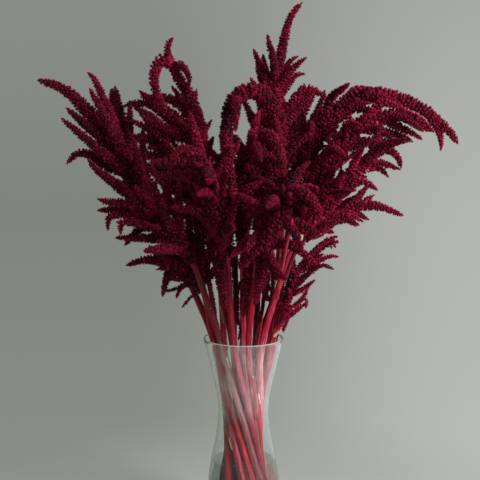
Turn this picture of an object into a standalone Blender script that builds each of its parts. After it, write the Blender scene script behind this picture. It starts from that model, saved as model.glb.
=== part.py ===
"""Red amaranth seed heads, cut on their stems and standing in a clear hourglass vase with some water.

Metres, +Z up. The origin is the middle of the vase's foot, and the front is towards -Y.
The tables below are in millimetres, and MM turns them to metres where a mesh is made.
"""

import math
import random

import bmesh
import bpy
import numpy as np

MM = 0.001
GAP = 0.3  # left between neighbouring solids that touch
SMOOTH_UNDER = math.radians(50)  # edges that turn less than this are shaded smooth

# The vase: outer radius at each height, from the foot to the rim
VASE_OUTLINE = ((38, 0), (43.5, 3), (46.5, 14), (48, 45), (44, 80), (36.6, 117),
                (32.7, 150), (35.3, 178), (42.2, 208), (52, 248.6))
WALL = 2.8
FLOOR = 14.0  # thickness of the glass bottom
VASE_SIDES = 24
OUTLINE_STEP = 24.0
WATER_LEVEL = 86.0

# The stems: two rings of them cross the waist as skew straight lines
RIM_HEIGHT = 250.0
WAIST_HEIGHT = 150.0
TWIST = math.radians(112)  # a stem's foot stands this far round from where it crosses the rim
RINGS = {"outer": {"foot": 36.0, "rim": 41.0}, "inner": {"foot": 13.5, "rim": 16.0}}
STEM_SIDES = 5
STEM_STEP = 56.0
STEM_TAPER = 0.8  # radius at the neck over radius at the foot

# The seed heads: knobbly tapering spikes along a rachis
AXIS_SIDES = 6
SPIKE_SIDES = 5
RELIEF = 0.15  # how far the clusters of florets stand out and fall back, as a share of the radius
AXIS_STEP = 24.0
SPIKE_STEP = 28.0
SPIKE_RADIUS = {"least": 3.0, "per_length": 0.055, "most": 8.0}  # a longer side spike is thicker
TIP_RADIUS = 0.34  # share of the radius left at the last ring, just before the point
TIP_TRIM = 0.85  # a curve stops this share of the radius short of its end, which the point then reaches
AXIS_TAPER = 3.2  # a higher one keeps a spike thick for longer
SIDE_TAPER = 2.2
CLEARANCE = 1.3  # kept between spikes of different heads, more than GAP as the test is by samples
SAMPLE_STEP = 6.0
GOLDEN_ANGLE = math.radians(137.5)
TRIES = 14

CRIMSON = (0.20, 0.008, 0.024, 1.0)
RASPBERRY = (0.42, 0.035, 0.085, 1.0)
CLEAR_GLASS = (0.86, 0.93, 0.90, 0.3)
CLEAR_WATER = (0.90, 0.95, 0.94, 0.3)

# Each stalk: the ring and azimuth where it crosses the rim, its stem's radius at the foot, its head's
# radius at its fullest and that of the spike that ends it, the head's axis from the neck to the tip,
# spikes that shape the outline (share along the axis, then points), the rule for most of the others
# (how many, from and to which share, longest, spread in degrees, rise or droop), and last the spikes
# that fill what the rule leaves open.
STALKS = {
    "far_left": dict(
        ring="outer", azimuth=172, stem=4.8, core=17, terminal=11.5, seed=3,
        axis=((-85, 8, 353), (-121, 14, 429), (-162, 20, 492), (-196, 22, 536), (-211, 22, 553),
              (-227, 20, 568), (-247, 18, 577), (-265, 16, 582)),
        named=((0.45, (-183, 10, 569), (-198, 8, 593)), (0.42, (-183, -8, 551), (-194, -10, 573)),
              (0.40, (-161, 36, 548), (-167, 44, 575)), (0.35, (-207, -4, 514), (-231, -10, 535)),
              (0.52, (-208, 8, 531), (-225, 6, 543)), (0.40, (-206, 32, 487), (-231, 28, 473)),
              (0.20, (-182, -6, 465), (-198, -12, 485)),
              (0.05, (-95, 2, 344), (-100, -4, 325), (-104, -8, 306))),
        rule=(10, 0.06, 0.62, 88, 38, 0.35),
        filled=((0.58, (-168, 33, 540), (-173, 66, 571)), (0.13, (-127, -17, 397), (-150, -41, 376)))),
    "loop_left": dict(
        ring="inner", azimuth=180, stem=4.4, core=15, terminal=9, seed=6,
        axis=((-46, 6, 390), (-52, 8, 457), (-57, 8, 506), (-62, 6, 538), (-70, 4, 563), (-82, 2, 584),
              (-91, 0, 604), (-96, -2, 618), (-92, -2, 630), (-85, -2, 630)),
        named=((0.85, (-100, -6, 608), (-110, -8, 597), (-112, -12, 578), (-106, -16, 560),
                (-95, -20, 544)),
               (0.86, (-79, -10, 601), (-69, -13, 588), (-68, -14, 572)),
               (0.50, (-117, 20, 555), (-135, 24, 569)),
               (0.42, (-108, 24, 543), (-134, 25, 552), (-157, 24, 547))),
        rule=(7, 0.04, 0.49, 67, 38, -0.05),
        filled=((0.58, (-77, 18, 553), (-93, 24, 575)), (0.56, (-90, 13, 556), (-134, 23, 560)),
               (0.47, (-102, 6, 513), (-145, 4, 532)), (0.49, (-93, -1, 518), (-122, -9, 544)))),
    "centre_arch": dict(
        ring="inner", azimuth=0, stem=4.6, core=12.5, terminal=10.5, seed=19,
        axis=((22, -6, 402), (37, -12, 466), (43, -20, 520), (30, -28, 558), (13, -36, 569),
              (-4, -42, 565), (-17, -50, 549), (-20, -60, 522), (-22, -70, 492), (-20, -76, 470),
              (-18, -79, 452)),
        named=(),
        rule=(8, 0.04, 0.40, 78, 42, -0.1),
        filled=((0.66, (-9, -75, 548), (-10, -95, 522)),)),
    "top_spire": dict(
        ring="inner", azimuth=90, stem=4.4, core=15, terminal=8.5, seed=15,
        axis=((18, 22, 390), (24, 26, 453), (30, 30, 504), (37, 30, 549), (43, 28, 592), (49, 26, 619),
              (55, 24, 647), (62, 22, 665), (75, 20, 680)),
        named=((0.70, (35, 26, 619), (30, 22, 640)), (0.60, (22, 26, 600), (12, 24, 622)),
              (0.52, (23, 40, 581), (16, 44, 604)), (0.44, (16, 10, 569), (8, 6, 586)),
              (0.62, (66, 18, 599), (81, 14, 611)), (0.64, (59, 34, 604), (71, 36, 612)),
              (0.54, (65, 36, 585), (81, 40, 589)), (0.36, (73, 26, 566), (90, 24, 567), (108, 20, 559))),
        rule=(8, 0.04, 0.80, 76, 40, 0.3),
        filled=()),
    "high_arch": dict(
        ring="outer", azimuth=26, stem=4.9, core=13.5, terminal=10.5, seed=32,
        axis=((53, 10, 421), (77, 6, 478), (97, 2, 516), (120, -2, 543), (144, -4, 559), (170, -4, 563),
              (197, -4, 558), (223, -4, 547), (243, -4, 533), (260, -4, 518), (273, -4, 500)),
        named=((0.84, (249, -2, 514), (251, -2, 492)),),
        rule=(10, 0.05, 0.62, 78, 32, -0.55),
        filled=()),
    "low_arch": dict(
        ring="outer", azimuth=356, stem=4.7, core=15, terminal=10.5, seed=35,
        axis=((59, -14, 400), (89, -24, 455), (117, -30, 498), (138, -34, 523), (164, -34, 536),
              (192, -34, 539), (214, -34, 531), (234, -34, 518)),
        named=((0.74, (207, -42, 518), (222, -44, 509)), (0.62, (193, -28, 514), (213, -26, 505)),
              (0.45, (164, -36, 509), (189, -38, 500))),
        rule=(9, 0.05, 0.80, 78, 32, -0.75),
        filled=((0.81, (210, -51, 538), (233, -65, 519)),)),
    "right_mid": dict(
        ring="outer", azimuth=306, stem=4.4, core=15, terminal=8.5, seed=42,
        axis=((67, -42, 386), (99, -58, 431), (128, -68, 464), (151, -72, 487), (170, -75, 499),
              (185, -76, 493), (192, -76, 476)),
        named=((0.60, (162, -66, 477), (179, -64, 464)), (0.42, (141, -82, 462), (164, -84, 450))),
        rule=(8, 0.05, 0.80, 59, 38, -0.3),
        filled=((0.67, (168, -91, 505), (199, -115, 515)),)),
    "right_low": dict(
        ring="outer", azimuth=54, stem=4.2, core=13, terminal=8, seed=19,
        axis=((68, 28, 363), (98, 34, 389), (127, 38, 411), (153, 40, 418), (180, 38, 416), (211, 36, 404)),
        named=((0.40, (137, 34, 406), (158, 30, 397)), (0.30, (128, 26, 402), (148, 22, 392))),
        rule=(8, 0.05, 0.62, 55, 36, -0.2),
        filled=()),
    "right_spray": dict(
        ring="outer", azimuth=331, stem=3.4, core=7.5, terminal=5.2, seed=15,
        axis=((47, -20, 270), (57, -24, 304), (68, -28, 340), (85, -30, 364), (104, -30, 380),
              (120, -30, 388)),
        named=((0.10, (74, -18, 303), (85, -14, 324)), (0.04, (67, -22, 289), (82, -20, 301)),
              (0.52, (105, -24, 359), (123, -20, 359)), (0.36, (94, -34, 349), (115, -38, 346))),
        rule=(4, 0.06, 0.70, 44, 42, 0.1),
        filled=((0.15, (31, -18, 306), (14, -14, 327)),)),
    "left_mid": dict(
        ring="outer", azimuth=225, stem=4.4, core=15, terminal=8.5, seed=57,
        axis=((-65, -40, 356), (-94, -56, 395), (-119, -64, 419), (-142, -68, 432), (-161, -70, 434),
              (-180, -70, 439)),
        named=((0.60, (-162, -62, 417), (-169, -58, 397)), (0.48, (-146, -74, 412), (-151, -76, 394))),
        rule=(9, 0.05, 0.62, 76, 40, -0.1),
        filled=()),
    "left_low": dict(
        ring="outer", azimuth=199, stem=3.8, core=11.5, terminal=7, seed=4,
        axis=((-53, -16, 315), (-74, -24, 341), (-98, -28, 354), (-122, -30, 357), (-150, -30, 349)),
        named=((0.34, (-96, -22, 331), (-103, -20, 314)), (0.12, (-78, -26, 322), (-86, -28, 306))),
        rule=(6, 0.08, 0.62, 45, 42, -0.1),
        filled=((0.09, (-57, -9, 360), (-58, -2, 397)), (0.09, (-43, -12, 366), (-25, -4, 407)),
               (0.24, (-69, -10, 381), (-71, -2, 427)), (0.07, (-33, -15, 343), (-4, -13, 355)))),
    "front_left": dict(
        ring="outer", azimuth=252, stem=4.5, core=18, terminal=9.5, seed=39,
        axis=((-21, -56, 368), (-31, -84, 424), (-43, -108, 468), (-56, -126, 496), (-72, -138, 505),
              (-86, -144, 492)),
        named=((0.08, (-30, -72, 356), (-27, -70, 325), (-21, -68, 300)),),
        rule=(12, 0.04, 0.80, 84, 46, -0.2),
        filled=()),
    "front_centre": dict(
        ring="inner", azimuth=270, stem=4.4, core=17, terminal=10, seed=49,
        axis=((-1, -24, 377), (-1, -46, 435), (6, -68, 484), (19, -90, 513), (33, -108, 516),
              (44, -120, 494), (47, -126, 470)),
        named=((0.07, (6, -46, 362), (4, -50, 322), (-1, -50, 283)),
              (0.05, (-7, -40, 350), (-11, -48, 321), (-12, -50, 288)),
              (0.08, (13, -58, 359), (18, -66, 332), (18, -68, 305))),
        rule=(12, 0.04, 0.62, 84, 46, -0.55),
        filled=()),
    "front_right": dict(
        ring="outer", azimuth=279, stem=4.5, core=16, terminal=9.5, seed=33,
        axis=((20, -58, 362), (33, -88, 408), (49, -114, 441), (66, -132, 454), (82, -142, 442),
              (91, -146, 420)),
        named=((0.09, (26, -76, 349), (16, -74, 314)),),
        rule=(11, 0.04, 0.62, 80, 46, -0.5),
        filled=((0.14, (36, -106, 361), (50, -150, 352)),)),
    "back_right": dict(
        ring="outer", azimuth=84, stem=4.6, core=16, terminal=9, seed=31,
        axis=((20, 58, 348), (33, 88, 414), (53, 118, 470), (80, 142, 502), (108, 156, 504),
              (133, 164, 482)),
        named=(),
        rule=(10, 0.05, 0.80, 88, 44, -0.1),
        filled=((0.79, (101, 135, 535), (112, 128, 567)), (0.66, (80, 132, 530), (102, 136, 570)))),
    "back_left": dict(
        ring="outer", azimuth=130, stem=4.6, core=16, terminal=9, seed=35,
        axis=((-36, 50, 349), (-60, 82, 409), (-89, 112, 463), (-123, 134, 496), (-154, 148, 498),
              (-182, 156, 477)),
        named=(),
        rule=(10, 0.05, 0.80, 88, 44, -0.4),
        filled=((0.73, (-131, 117, 529), (-154, 94, 553)), (0.56, (-130, 138, 476), (-170, 162, 482)),
               (0.33, (-100, 67, 442), (-130, 50, 474)))),
}


def unit(vector):
    return vector / np.linalg.norm(vector)


def smooth(points, per_span=16):
    """A finely sampled smooth curve through the points."""
    p = np.array(points, float)
    p = np.vstack([2 * p[0] - p[1], p, 2 * p[-1] - p[-2]])
    t = np.linspace(0, 1, per_span, endpoint=False)[:, None]
    spans = []
    for a, b, c, d in zip(p, p[1:], p[2:], p[3:]):
        bend = (2 * a - 5 * b + 4 * c - d) * t**2 + (3 * b - a - 3 * c + d) * t**3
        spans.append(b + 0.5 * ((c - a) * t + bend))
    return np.vstack(spans + [p[-2:-1]])


def lengths(curve):
    return np.concatenate([[0], np.cumsum(np.linalg.norm(np.diff(curve, axis=0), axis=1))])


def stations(curve, step, least=3):
    """Points at equal distances of about step along the curve, and its direction at each."""
    along = lengths(curve)
    places = np.linspace(0, along[-1], max(least, round(along[-1] / step)) + 1)
    path, steps = (np.column_stack([np.interp(places, along, axis) for axis in values.T])
                   for values in (curve, np.gradient(curve, axis=0)))
    return path, steps / np.linalg.norm(steps, axis=1)[:, None]


def tube(path, along, radii, pointed):
    """Points and faces of a closed tube. radii has a row for each station and a number for each side."""
    side = unit(np.cross(along[0], (0.31, 0.87, 0.38)))
    sides = radii.shape[1]
    angles = np.linspace(0, 2 * math.pi, sides, endpoint=False)
    points = []
    for place, tangent, row in zip(path, along, radii):
        side = unit(side - tangent * (side @ tangent))
        across = np.cross(tangent, side)
        points += [place + r * (math.cos(a) * side + math.sin(a) * across) for a, r in zip(angles, row)]
    faces = [tuple(reversed(range(sides)))]
    for ring in range(len(path) - 1):
        for k in range(sides):
            after = (k + 1) % sides
            a, b = ring * sides + k, ring * sides + after
            c, d = b + sides, a + sides
            # the fold of each pair of triangles runs between its two higher corners
            if radii[ring][k] + radii[ring + 1][after] > radii[ring][after] + radii[ring + 1][k]:
                faces += [(a, b, c), (a, c, d)]
            else:
                faces += [(a, b, d), (b, c, d)]
    last = (len(path) - 1) * sides
    if pointed:
        points.append(path[-1] + along[-1] * radii[-1].max() * 2.5)
        faces += [(last + k, last + (k + 1) % sides, len(points) - 1) for k in range(sides)]
    else:
        faces.append(tuple(range(last, last + sides)))
    return points, faces


def add_mesh(name, points, faces, material):
    mesh = bpy.data.meshes.new(name)
    mesh.from_pydata([tuple(float(x) * MM for x in p) for p in points], [], faces)
    mesh.materials.append(material)
    obj = bpy.data.objects.new(name, mesh)
    bpy.context.scene.collection.objects.link(obj)
    return obj


def add_material(name, colour, roughness, transmission=0.0):
    material = bpy.data.materials.new(name)
    material.use_nodes = True
    shader = material.node_tree.nodes["Principled BSDF"]
    shader.inputs["Base Color"].default_value = colour
    shader.inputs["Roughness"].default_value = roughness
    shader.inputs["Metallic"].default_value = 0.0
    shader.inputs["Transmission Weight"].default_value = transmission
    return material


def spike_radius(radius, share, taper=SIDE_TAPER):
    """A spike's radius at a share of its length: narrow at the root, full by a fifth, then tapering."""
    return radius * min(1.0, 0.75 + 1.2 * share) * (1 - (1 - TIP_RADIUS) * share**taper)


def core_radius(stalk, share):
    """An axis's radius at a share of its length: the dense core low down, then the spike that ends it."""
    swell = math.exp(-(((share - 0.36) / 0.24) ** 2))
    return spike_radius(stalk["terminal"], share, AXIS_TAPER) + (stalk["core"] - stalk["terminal"]) * swell


def side_radius(curve):
    """The radius of a side spike at its fullest."""
    grown = SPIKE_RADIUS["least"] + SPIKE_RADIUS["per_length"] * lengths(curve)[-1]
    return min(SPIKE_RADIUS["most"], grown)


def trimmed(curve, by):
    """The curve without the last stretch of it."""
    along = lengths(curve)
    end = max(along[-1] - by, along[-1] / 2)
    last = np.array([np.interp(end, along, axis) for axis in curve.T])
    return np.vstack([curve[along < end], last])


def knobbly_mesh(curve, radius_at, step, sides):
    """A tapering tube with its clusters of florets as staggered knobs."""
    path, along = stations(curve, step, least=2)
    radii = np.array([[radius_at(s) * (1 + RELIEF * (-1) ** (ring + k)) for k in range(sides)]
                      for ring, s in enumerate(np.linspace(0, 1, len(path)))])
    return tube(path, along, radii, pointed=True)


def stem_curve(stalk):
    """The stem's skew line up through the vase to the neck, and the head's axis, as one smooth curve."""
    ring = RINGS[stalk["ring"]]
    at_rim = math.radians(stalk["azimuth"])
    lean = stalk["stem"] * 0.32
    foot = np.array([ring["foot"] * math.cos(at_rim + TWIST), ring["foot"] * math.sin(at_rim + TWIST),
                     FLOOR + GAP + lean])
    rim = np.array([ring["rim"] * math.cos(at_rim), ring["rim"] * math.sin(at_rim), RIM_HEIGHT])
    waist = foot + (rim - foot) * (WAIST_HEIGHT - foot[2]) / (rim[2] - foot[2])
    curve = smooth([foot, waist, rim, *stalk["axis"]])
    neck = int(np.argmin(np.linalg.norm(curve - np.array(stalk["axis"][0]), axis=1)))
    return curve[: neck + 1], curve[neck:]


def at_share(curve, share):
    """The point on a curve at a share of its length, and the curve's direction there."""
    along = lengths(curve)
    place = np.array([np.interp(share * along[-1], along, axis) for axis in curve.T])
    index = min(int(np.searchsorted(along, share * along[-1])), len(curve) - 2)
    return place, unit(curve[index + 1] - curve[index])


def balls_along(curve, radius_at):
    """Centres and radii of balls that together fill a tube."""
    path, _ = stations(curve, SAMPLE_STEP)
    return np.column_stack([path, [radius_at(s) for s in np.linspace(0, 1, len(path))]])


class Occupied:
    """Balls along every stem and spike placed so far, to keep spikes of different heads apart."""

    def __init__(self):
        self.balls = np.empty((0, 4))
        self.owners = np.empty(0, int)

    def add(self, balls, owner):
        self.balls = np.vstack([self.balls, balls])
        self.owners = np.concatenate([self.owners, np.full(len(balls), owner)])

    def clear(self, balls, owner):
        others = self.balls[self.owners != owner]
        apart = np.linalg.norm(balls[:, None, :3] - others[None, :, :3], axis=2)
        room = balls[:, None, 3] + others[None, :, 3] + CLEARANCE
        above_rim = (balls[:, 2] - balls[:, 3] > RIM_HEIGHT + 4).all()
        return bool((apart > room).all()) and bool(above_rim)


def spike_balls(curve):
    radius = side_radius(curve)
    return balls_along(curve, lambda share: spike_radius(radius, share) * (1 + RELIEF))


def place_named(occupied, owner, axis, spike):
    """A spike through given points, moved in depth until it is clear of the other heads."""
    share, *points = spike
    start, _ = at_share(axis, share)
    for shift in (0, 6, -6, 12, -12, 18, -18, 26, -26):
        moved = [np.add(p, (0, shift * (k + 1) / len(points), 0)) for k, p in enumerate(points)]
        curve = smooth([start, *moved])
        curve = trimmed(curve, side_radius(curve) * TIP_TRIM)
        balls = spike_balls(curve)
        if occupied.clear(balls, owner):
            occupied.add(balls, owner)
            return [curve]
    return []


def place_ruled(occupied, owner, axis, rule, rng):
    """Spikes all round the axis, shorter towards its tip, each turned until clear of the other heads."""
    count, first_share, last_share, longest, spread, rise = rule
    placed = []
    for k in range(count):
        share = first_share + (last_share - first_share) * (k + 0.5) / count
        start, tangent = at_share(axis, share)
        side = unit(np.cross(tangent, (0.2, 0.1, 1.0)))
        across = np.cross(tangent, side)
        length = longest * (1 - 0.45 * share) * rng.uniform(0.85, 1.15)
        angle = GOLDEN_ANGLE * k + rng.uniform(-0.3, 0.3)
        lean = math.radians(spread * rng.uniform(0.8, 1.2))
        lift = np.array([0, 0, rise + rng.uniform(-0.25, 0.25)])
        for attempt in range(TRIES):
            turned = angle + (attempt + 1) // 2 * (-1) ** attempt * 0.38
            reach = length * (1.0 if attempt < TRIES // 2 else 0.75)
            outward = math.cos(turned) * side + math.sin(turned) * across
            first = math.cos(lean) * tangent + math.sin(lean) * outward
            middle = start + first * reach * 0.5
            end = middle + unit(first + lift) * reach * 0.5
            curve = smooth([start, middle, end])
            balls = spike_balls(curve)
            if occupied.clear(balls, owner):
                occupied.add(balls, owner)
                placed.append(curve)
                break
    return placed


def lay_out():
    """Every stalk's stem, axis and side spikes as curves, with no two stalks meeting."""
    occupied = Occupied()
    plan = {}
    for index, (name, stalk) in enumerate(STALKS.items()):
        stem, axis = stem_curve(stalk)
        axis = trimmed(axis, stalk["terminal"] * TIP_TRIM)
        plan[name] = {"stem": stem, "axis": axis, "spikes": []}
        # a stem has an owner of its own, so that its own head's spikes keep off it too
        along = lengths(stem)
        below_neck = stem[along < along[-1] - 3]
        occupied.add(balls_along(below_neck, lambda share: stalk["stem"]), 100 + index)
        core = balls_along(axis, lambda share: core_radius(stalk, share) * (1 + RELIEF))
        occupied.add(core, index)
    for index, (name, stalk) in enumerate(STALKS.items()):
        for spike in stalk["named"]:
            plan[name]["spikes"] += place_named(occupied, index, plan[name]["axis"], spike)
    for index, (name, stalk) in enumerate(STALKS.items()):
        rng = random.Random(stalk["seed"])
        plan[name]["spikes"] += place_ruled(occupied, index, plan[name]["axis"], stalk["rule"], rng)
    for index, (name, stalk) in enumerate(STALKS.items()):
        for spike in stalk["filled"]:
            plan[name]["spikes"] += place_named(occupied, index, plan[name]["axis"], spike)
    return plan


def stem_radii(path, radius, wider=0.0):
    shares = np.linspace(0, 1, len(path))
    return np.array([[radius * (1 - (1 - STEM_TAPER) * s) + wider] * STEM_SIDES for s in shares])


def build_stem(name, curve, radius, material):
    path, along = stations(curve, STEM_STEP)
    path[-1] -= along[-1] * GAP / 2
    return add_mesh(name, *tube(path, along, stem_radii(path, radius), pointed=False), material)


def combine(body, others, operation):
    """Joins the others to the body or cuts them from it, with one Boolean, and removes them."""
    group = bpy.data.collections.new("others")
    for other in others:
        group.objects.link(other)
    boolean = body.modifiers.new("combine", "BOOLEAN")
    boolean.operation = operation
    boolean.operand_type = "COLLECTION"
    boolean.collection = group
    boolean.solver = "EXACT"
    bpy.context.view_layer.objects.active = body
    bpy.ops.object.modifier_apply(modifier=boolean.name)
    for other in others:
        bpy.data.objects.remove(other)
    bpy.data.collections.remove(group)


def keep_outer_shell(body):
    """Fills hollows sealed in by crossing spikes, and drops loose scraps."""
    mesh = bmesh.new()
    mesh.from_mesh(body.data)
    bmesh.ops.triangulate(mesh, faces=mesh.faces)
    left = set(mesh.faces)
    shells = []
    while left:
        shell, reached = [], [left.pop()]
        while reached:
            face = reached.pop()
            shell.append(face)
            # an edge of four faces is where two shells touch
            near = {f for edge in face.edges if len(edge.link_faces) == 2 for f in edge.link_faces} & left
            left -= near
            reached += near
        shells.append(shell)
    outer = max(shells, key=len)
    inner = [face for shell in shells if shell is not outer for face in shell]
    bmesh.ops.delete(mesh, geom=inner, context="FACES")
    mesh.to_mesh(body.data)
    mesh.free()


def build_head(name, stalk, axis, spikes, material):
    axis = axis.copy()
    axis[0] += unit(axis[1] - axis[0]) * GAP / 2
    body_shape = knobbly_mesh(axis, lambda share: core_radius(stalk, share), AXIS_STEP, AXIS_SIDES)
    body = add_mesh(name, *body_shape, material)
    side_spikes = []
    for k, curve in enumerate(spikes):
        radius = side_radius(curve)
        shape = knobbly_mesh(curve, lambda share: spike_radius(radius, share), SPIKE_STEP, SPIKE_SIDES)
        side_spikes.append(add_mesh(f"{name}_{k}", *shape, material))
    combine(body, side_spikes, "UNION")
    keep_outer_shell(body)
    return body


def turned(name, outline, material, sides=VASE_SIDES):
    """A solid of revolution about Z. The outline runs from the axis at the top to the axis at the bottom."""
    angles = [2 * math.pi * k / sides for k in range(sides)]
    points = [(0, 0, outline[0][1])]
    for radius, height in outline[1:-1]:
        points += [(radius * math.cos(a), radius * math.sin(a), height) for a in angles]
    points.append((0, 0, outline[-1][1]))
    rings = len(outline) - 2
    faces = []
    for k in range(sides):
        after = (k + 1) % sides
        faces.append((0, 1 + k, 1 + after))
        for ring in range(rings - 1):
            a, b = 1 + ring * sides, 1 + (ring + 1) * sides
            faces.append((a + k, b + k, b + after, a + after))
        last = 1 + (rings - 1) * sides
        faces.append((last + k, len(points) - 1, last + after))
    return add_mesh(name, points, faces, material)


def vase_wall():
    """Radius and height pairs down the outside of the glass, from the rim to the foot."""
    path, _ = stations(smooth([(r, 0, z) for r, z in VASE_OUTLINE]), OUTLINE_STEP)
    return [(p[0], p[2]) for p in path][::-1]


def inner_wall(top, inset):
    """Radius and height pairs down the inside, from top to the floor, this far in from the outside."""
    wall = [(r - inset, z) for r, z in vase_wall() if FLOOR + 3 < z < top - 3]
    at_top = np.interp(top, *zip(*sorted((z, r) for r, z in vase_wall())))
    return [(at_top - inset, top), *wall]


def build_vase(material):
    outside = vase_wall()
    inside = inner_wall(outside[0][1], WALL)
    lip = (outside[0][0] - WALL / 2, outside[0][1] + WALL / 2)
    floor = [(inside[-1][0] - 3, FLOOR + 0.8), (inside[-1][0] - 7, FLOOR)]
    outline = [(0, FLOOR), *reversed(inside + floor), lip, *outside, (0, 0)]
    return turned("vase", outline, material)


def build_water(plan, material):
    """The water, with a plain hole for each stem that stands in it."""
    side = inner_wall(WATER_LEVEL, WALL + GAP)
    low = FLOOR + GAP
    floor = [(side[-1][0] - 3, low + 0.8), (side[-1][0] - 7, low)]
    outline = [(0, WATER_LEVEL), *side, *floor, (0, low)]
    water = turned("water", outline, material)
    holes = []
    for name, stalk in STALKS.items():
        path, along = stations(plan[name]["stem"], STEM_STEP)
        radii = stem_radii(path, stalk["stem"], wider=GAP / math.cos(math.pi / STEM_SIDES))
        wet = int(np.argmax(path[:, 2] > WATER_LEVEL + 6)) + 1
        path[0] -= along[0] * 8
        hole = tube(path[:wet], along[:wet], radii[:wet], pointed=False)
        holes.append(add_mesh("hole_" + name, *hole, material))
    combine(water, holes, "DIFFERENCE")
    return water


def main():
    for obj in list(bpy.data.objects):
        bpy.data.objects.remove(obj)
    glass = add_material("glass", CLEAR_GLASS, 0.02, transmission=1.0)
    water = add_material("water", CLEAR_WATER, 0.0, transmission=1.0)
    stem = add_material("stem", RASPBERRY, 0.45)
    head = add_material("seed_head", CRIMSON, 0.85)
    plan = lay_out()
    build_vase(glass)
    build_water(plan, water)
    for name, stalk in STALKS.items():
        build_stem("stem_" + name, plan[name]["stem"], stalk["stem"], stem)
        build_head("head_" + name, stalk, plan[name]["axis"], plan[name]["spikes"], head)

    pieces = list(bpy.data.objects)
    arrangement = bpy.data.objects.new("arrangement", None)
    bpy.context.scene.collection.objects.link(arrangement)
    for obj in pieces:
        obj.data.shade_smooth()
        obj.data.set_sharp_from_angle(angle=SMOOTH_UNDER)
        obj.parent = arrangement


if __name__ == "__main__":
    main()
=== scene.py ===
import math
import random

import bpy
import numpy as np
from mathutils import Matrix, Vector


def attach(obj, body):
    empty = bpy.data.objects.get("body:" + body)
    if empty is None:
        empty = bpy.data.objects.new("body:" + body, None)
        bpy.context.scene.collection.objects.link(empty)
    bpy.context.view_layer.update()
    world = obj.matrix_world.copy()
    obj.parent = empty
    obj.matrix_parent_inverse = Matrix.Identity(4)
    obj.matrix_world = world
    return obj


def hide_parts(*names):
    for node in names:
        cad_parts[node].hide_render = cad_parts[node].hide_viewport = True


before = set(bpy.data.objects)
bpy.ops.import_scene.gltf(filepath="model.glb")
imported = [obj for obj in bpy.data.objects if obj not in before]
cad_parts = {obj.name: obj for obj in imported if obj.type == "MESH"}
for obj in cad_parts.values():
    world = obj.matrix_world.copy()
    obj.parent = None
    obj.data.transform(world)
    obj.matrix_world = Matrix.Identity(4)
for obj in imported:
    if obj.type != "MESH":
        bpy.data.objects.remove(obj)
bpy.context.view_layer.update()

# A bunch of red amaranth in a clear hourglass vase. Settings are in millimetres and degrees.
mm = 0.001
goldenAngle = math.radians(137.5)


# Objects, colours and nodes
def deselectAll():
    if bpy.context.object and bpy.context.object.mode != "OBJECT":
        bpy.ops.object.mode_set(mode="OBJECT")
    bpy.ops.object.select_all(action="DESELECT")


def addObject(name, data):
    piece = bpy.data.objects.new(name, data)
    bpy.context.scene.collection.objects.link(piece)
    return piece


def finishPiece(piece, material, slot, *nodes):
    # hands the piece to the frame in place of the CAD nodes
    piece.data.materials.clear()
    piece.data.materials.append(material)
    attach(piece, "root")
    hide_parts(*nodes)


def linear(code):
    # an sRGB hex colour as the linear values that the sockets hold
    channels = [int(code[k:k + 2], 16) / 255 for k in (1, 3, 5)]
    return [c / 12.92 if c <= 0.04045 else ((c + 0.055) / 1.055) ** 2.4 for c in channels] + [1.0]


def newMaterial(name, **values):
    material = bpy.data.materials.new(name)
    material.use_nodes = True
    tree = material.node_tree
    shader = tree.nodes["Principled BSDF"]
    for key, value in values.items():
        shader.inputs[key.replace("_", " ")].default_value = value
    return material, tree, shader


def addNode(tree, kind, settings=None, inputs=None):
    # settings are the node's own; inputs maps a socket to a value or to another node's output
    node = tree.nodes.new(kind)
    for key, value in (settings or {}).items():
        setattr(node, key, value)
    for key, value in (inputs or {}).items():
        if isinstance(value, bpy.types.NodeSocket):
            tree.links.new(value, node.inputs[key])
        else:
            node.inputs[key].default_value = value
    return node


# Each of these adds one node and gives its output
def objectPlace(tree):
    return addNode(tree, "ShaderNodeTexCoord").outputs["Object"]


def axisOf(tree, vector, letter):
    return addNode(tree, "ShaderNodeSeparateXYZ", inputs={"Vector": vector}).outputs[letter]


def storedValue(tree, name, output="Fac"):
    return addNode(tree, "ShaderNodeAttribute", {"attribute_name": name}).outputs[output]


def addMath(tree, operation, *values):
    node = addNode(tree, "ShaderNodeMath", {"operation": operation}, dict(enumerate(values)))
    return node.outputs["Value"]


def addNoise(tree, vector, scale, **values):
    node = addNode(tree, "ShaderNodeTexNoise", inputs={"Vector": vector, "Scale": scale, **values})
    return node.outputs["Fac"]


def addRange(tree, value, start, end, low=0.0, high=1.0, kind="SMOOTHSTEP"):
    # low up to start and high from end on
    inputs = {"Value": value, "From Min": start, "From Max": end, "To Min": low, "To Max": high}
    return addNode(tree, "ShaderNodeMapRange", {"interpolation_type": kind}, inputs).outputs["Result"]


def addMix(tree, factor, first, second):
    inputs = {"Factor": factor, "A": first, "B": second}
    return addNode(tree, "ShaderNodeMix", {"data_type": "RGBA"}, inputs).outputs["Result"]


def addRamp(tree, factor, stops):
    ramp = addNode(tree, "ShaderNodeValToRGB", inputs={"Fac": factor})
    while len(ramp.color_ramp.elements) < len(stops):
        ramp.color_ramp.elements.new(0.5)
    for element, (place, code) in zip(ramp.color_ramp.elements, stops):
        element.position = place
        element.color = linear(code)
    return ramp.outputs["Color"]


def finishSurface(tree, shader, colour, height, strength, distance):
    # gives the shader its colour, and a bump of this strength and depth from height
    inputs = {"Height": height, "Strength": strength, "Distance": distance}
    bump = addNode(tree, "ShaderNodeBump", inputs=inputs)
    tree.links.new(colour, shader.inputs["Base Color"])
    tree.links.new(bump.outputs["Normal"], shader.inputs["Normal"])


# Curves, with the same arithmetic as the CAD
def unit(vector):
    return vector / np.linalg.norm(vector)


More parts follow.
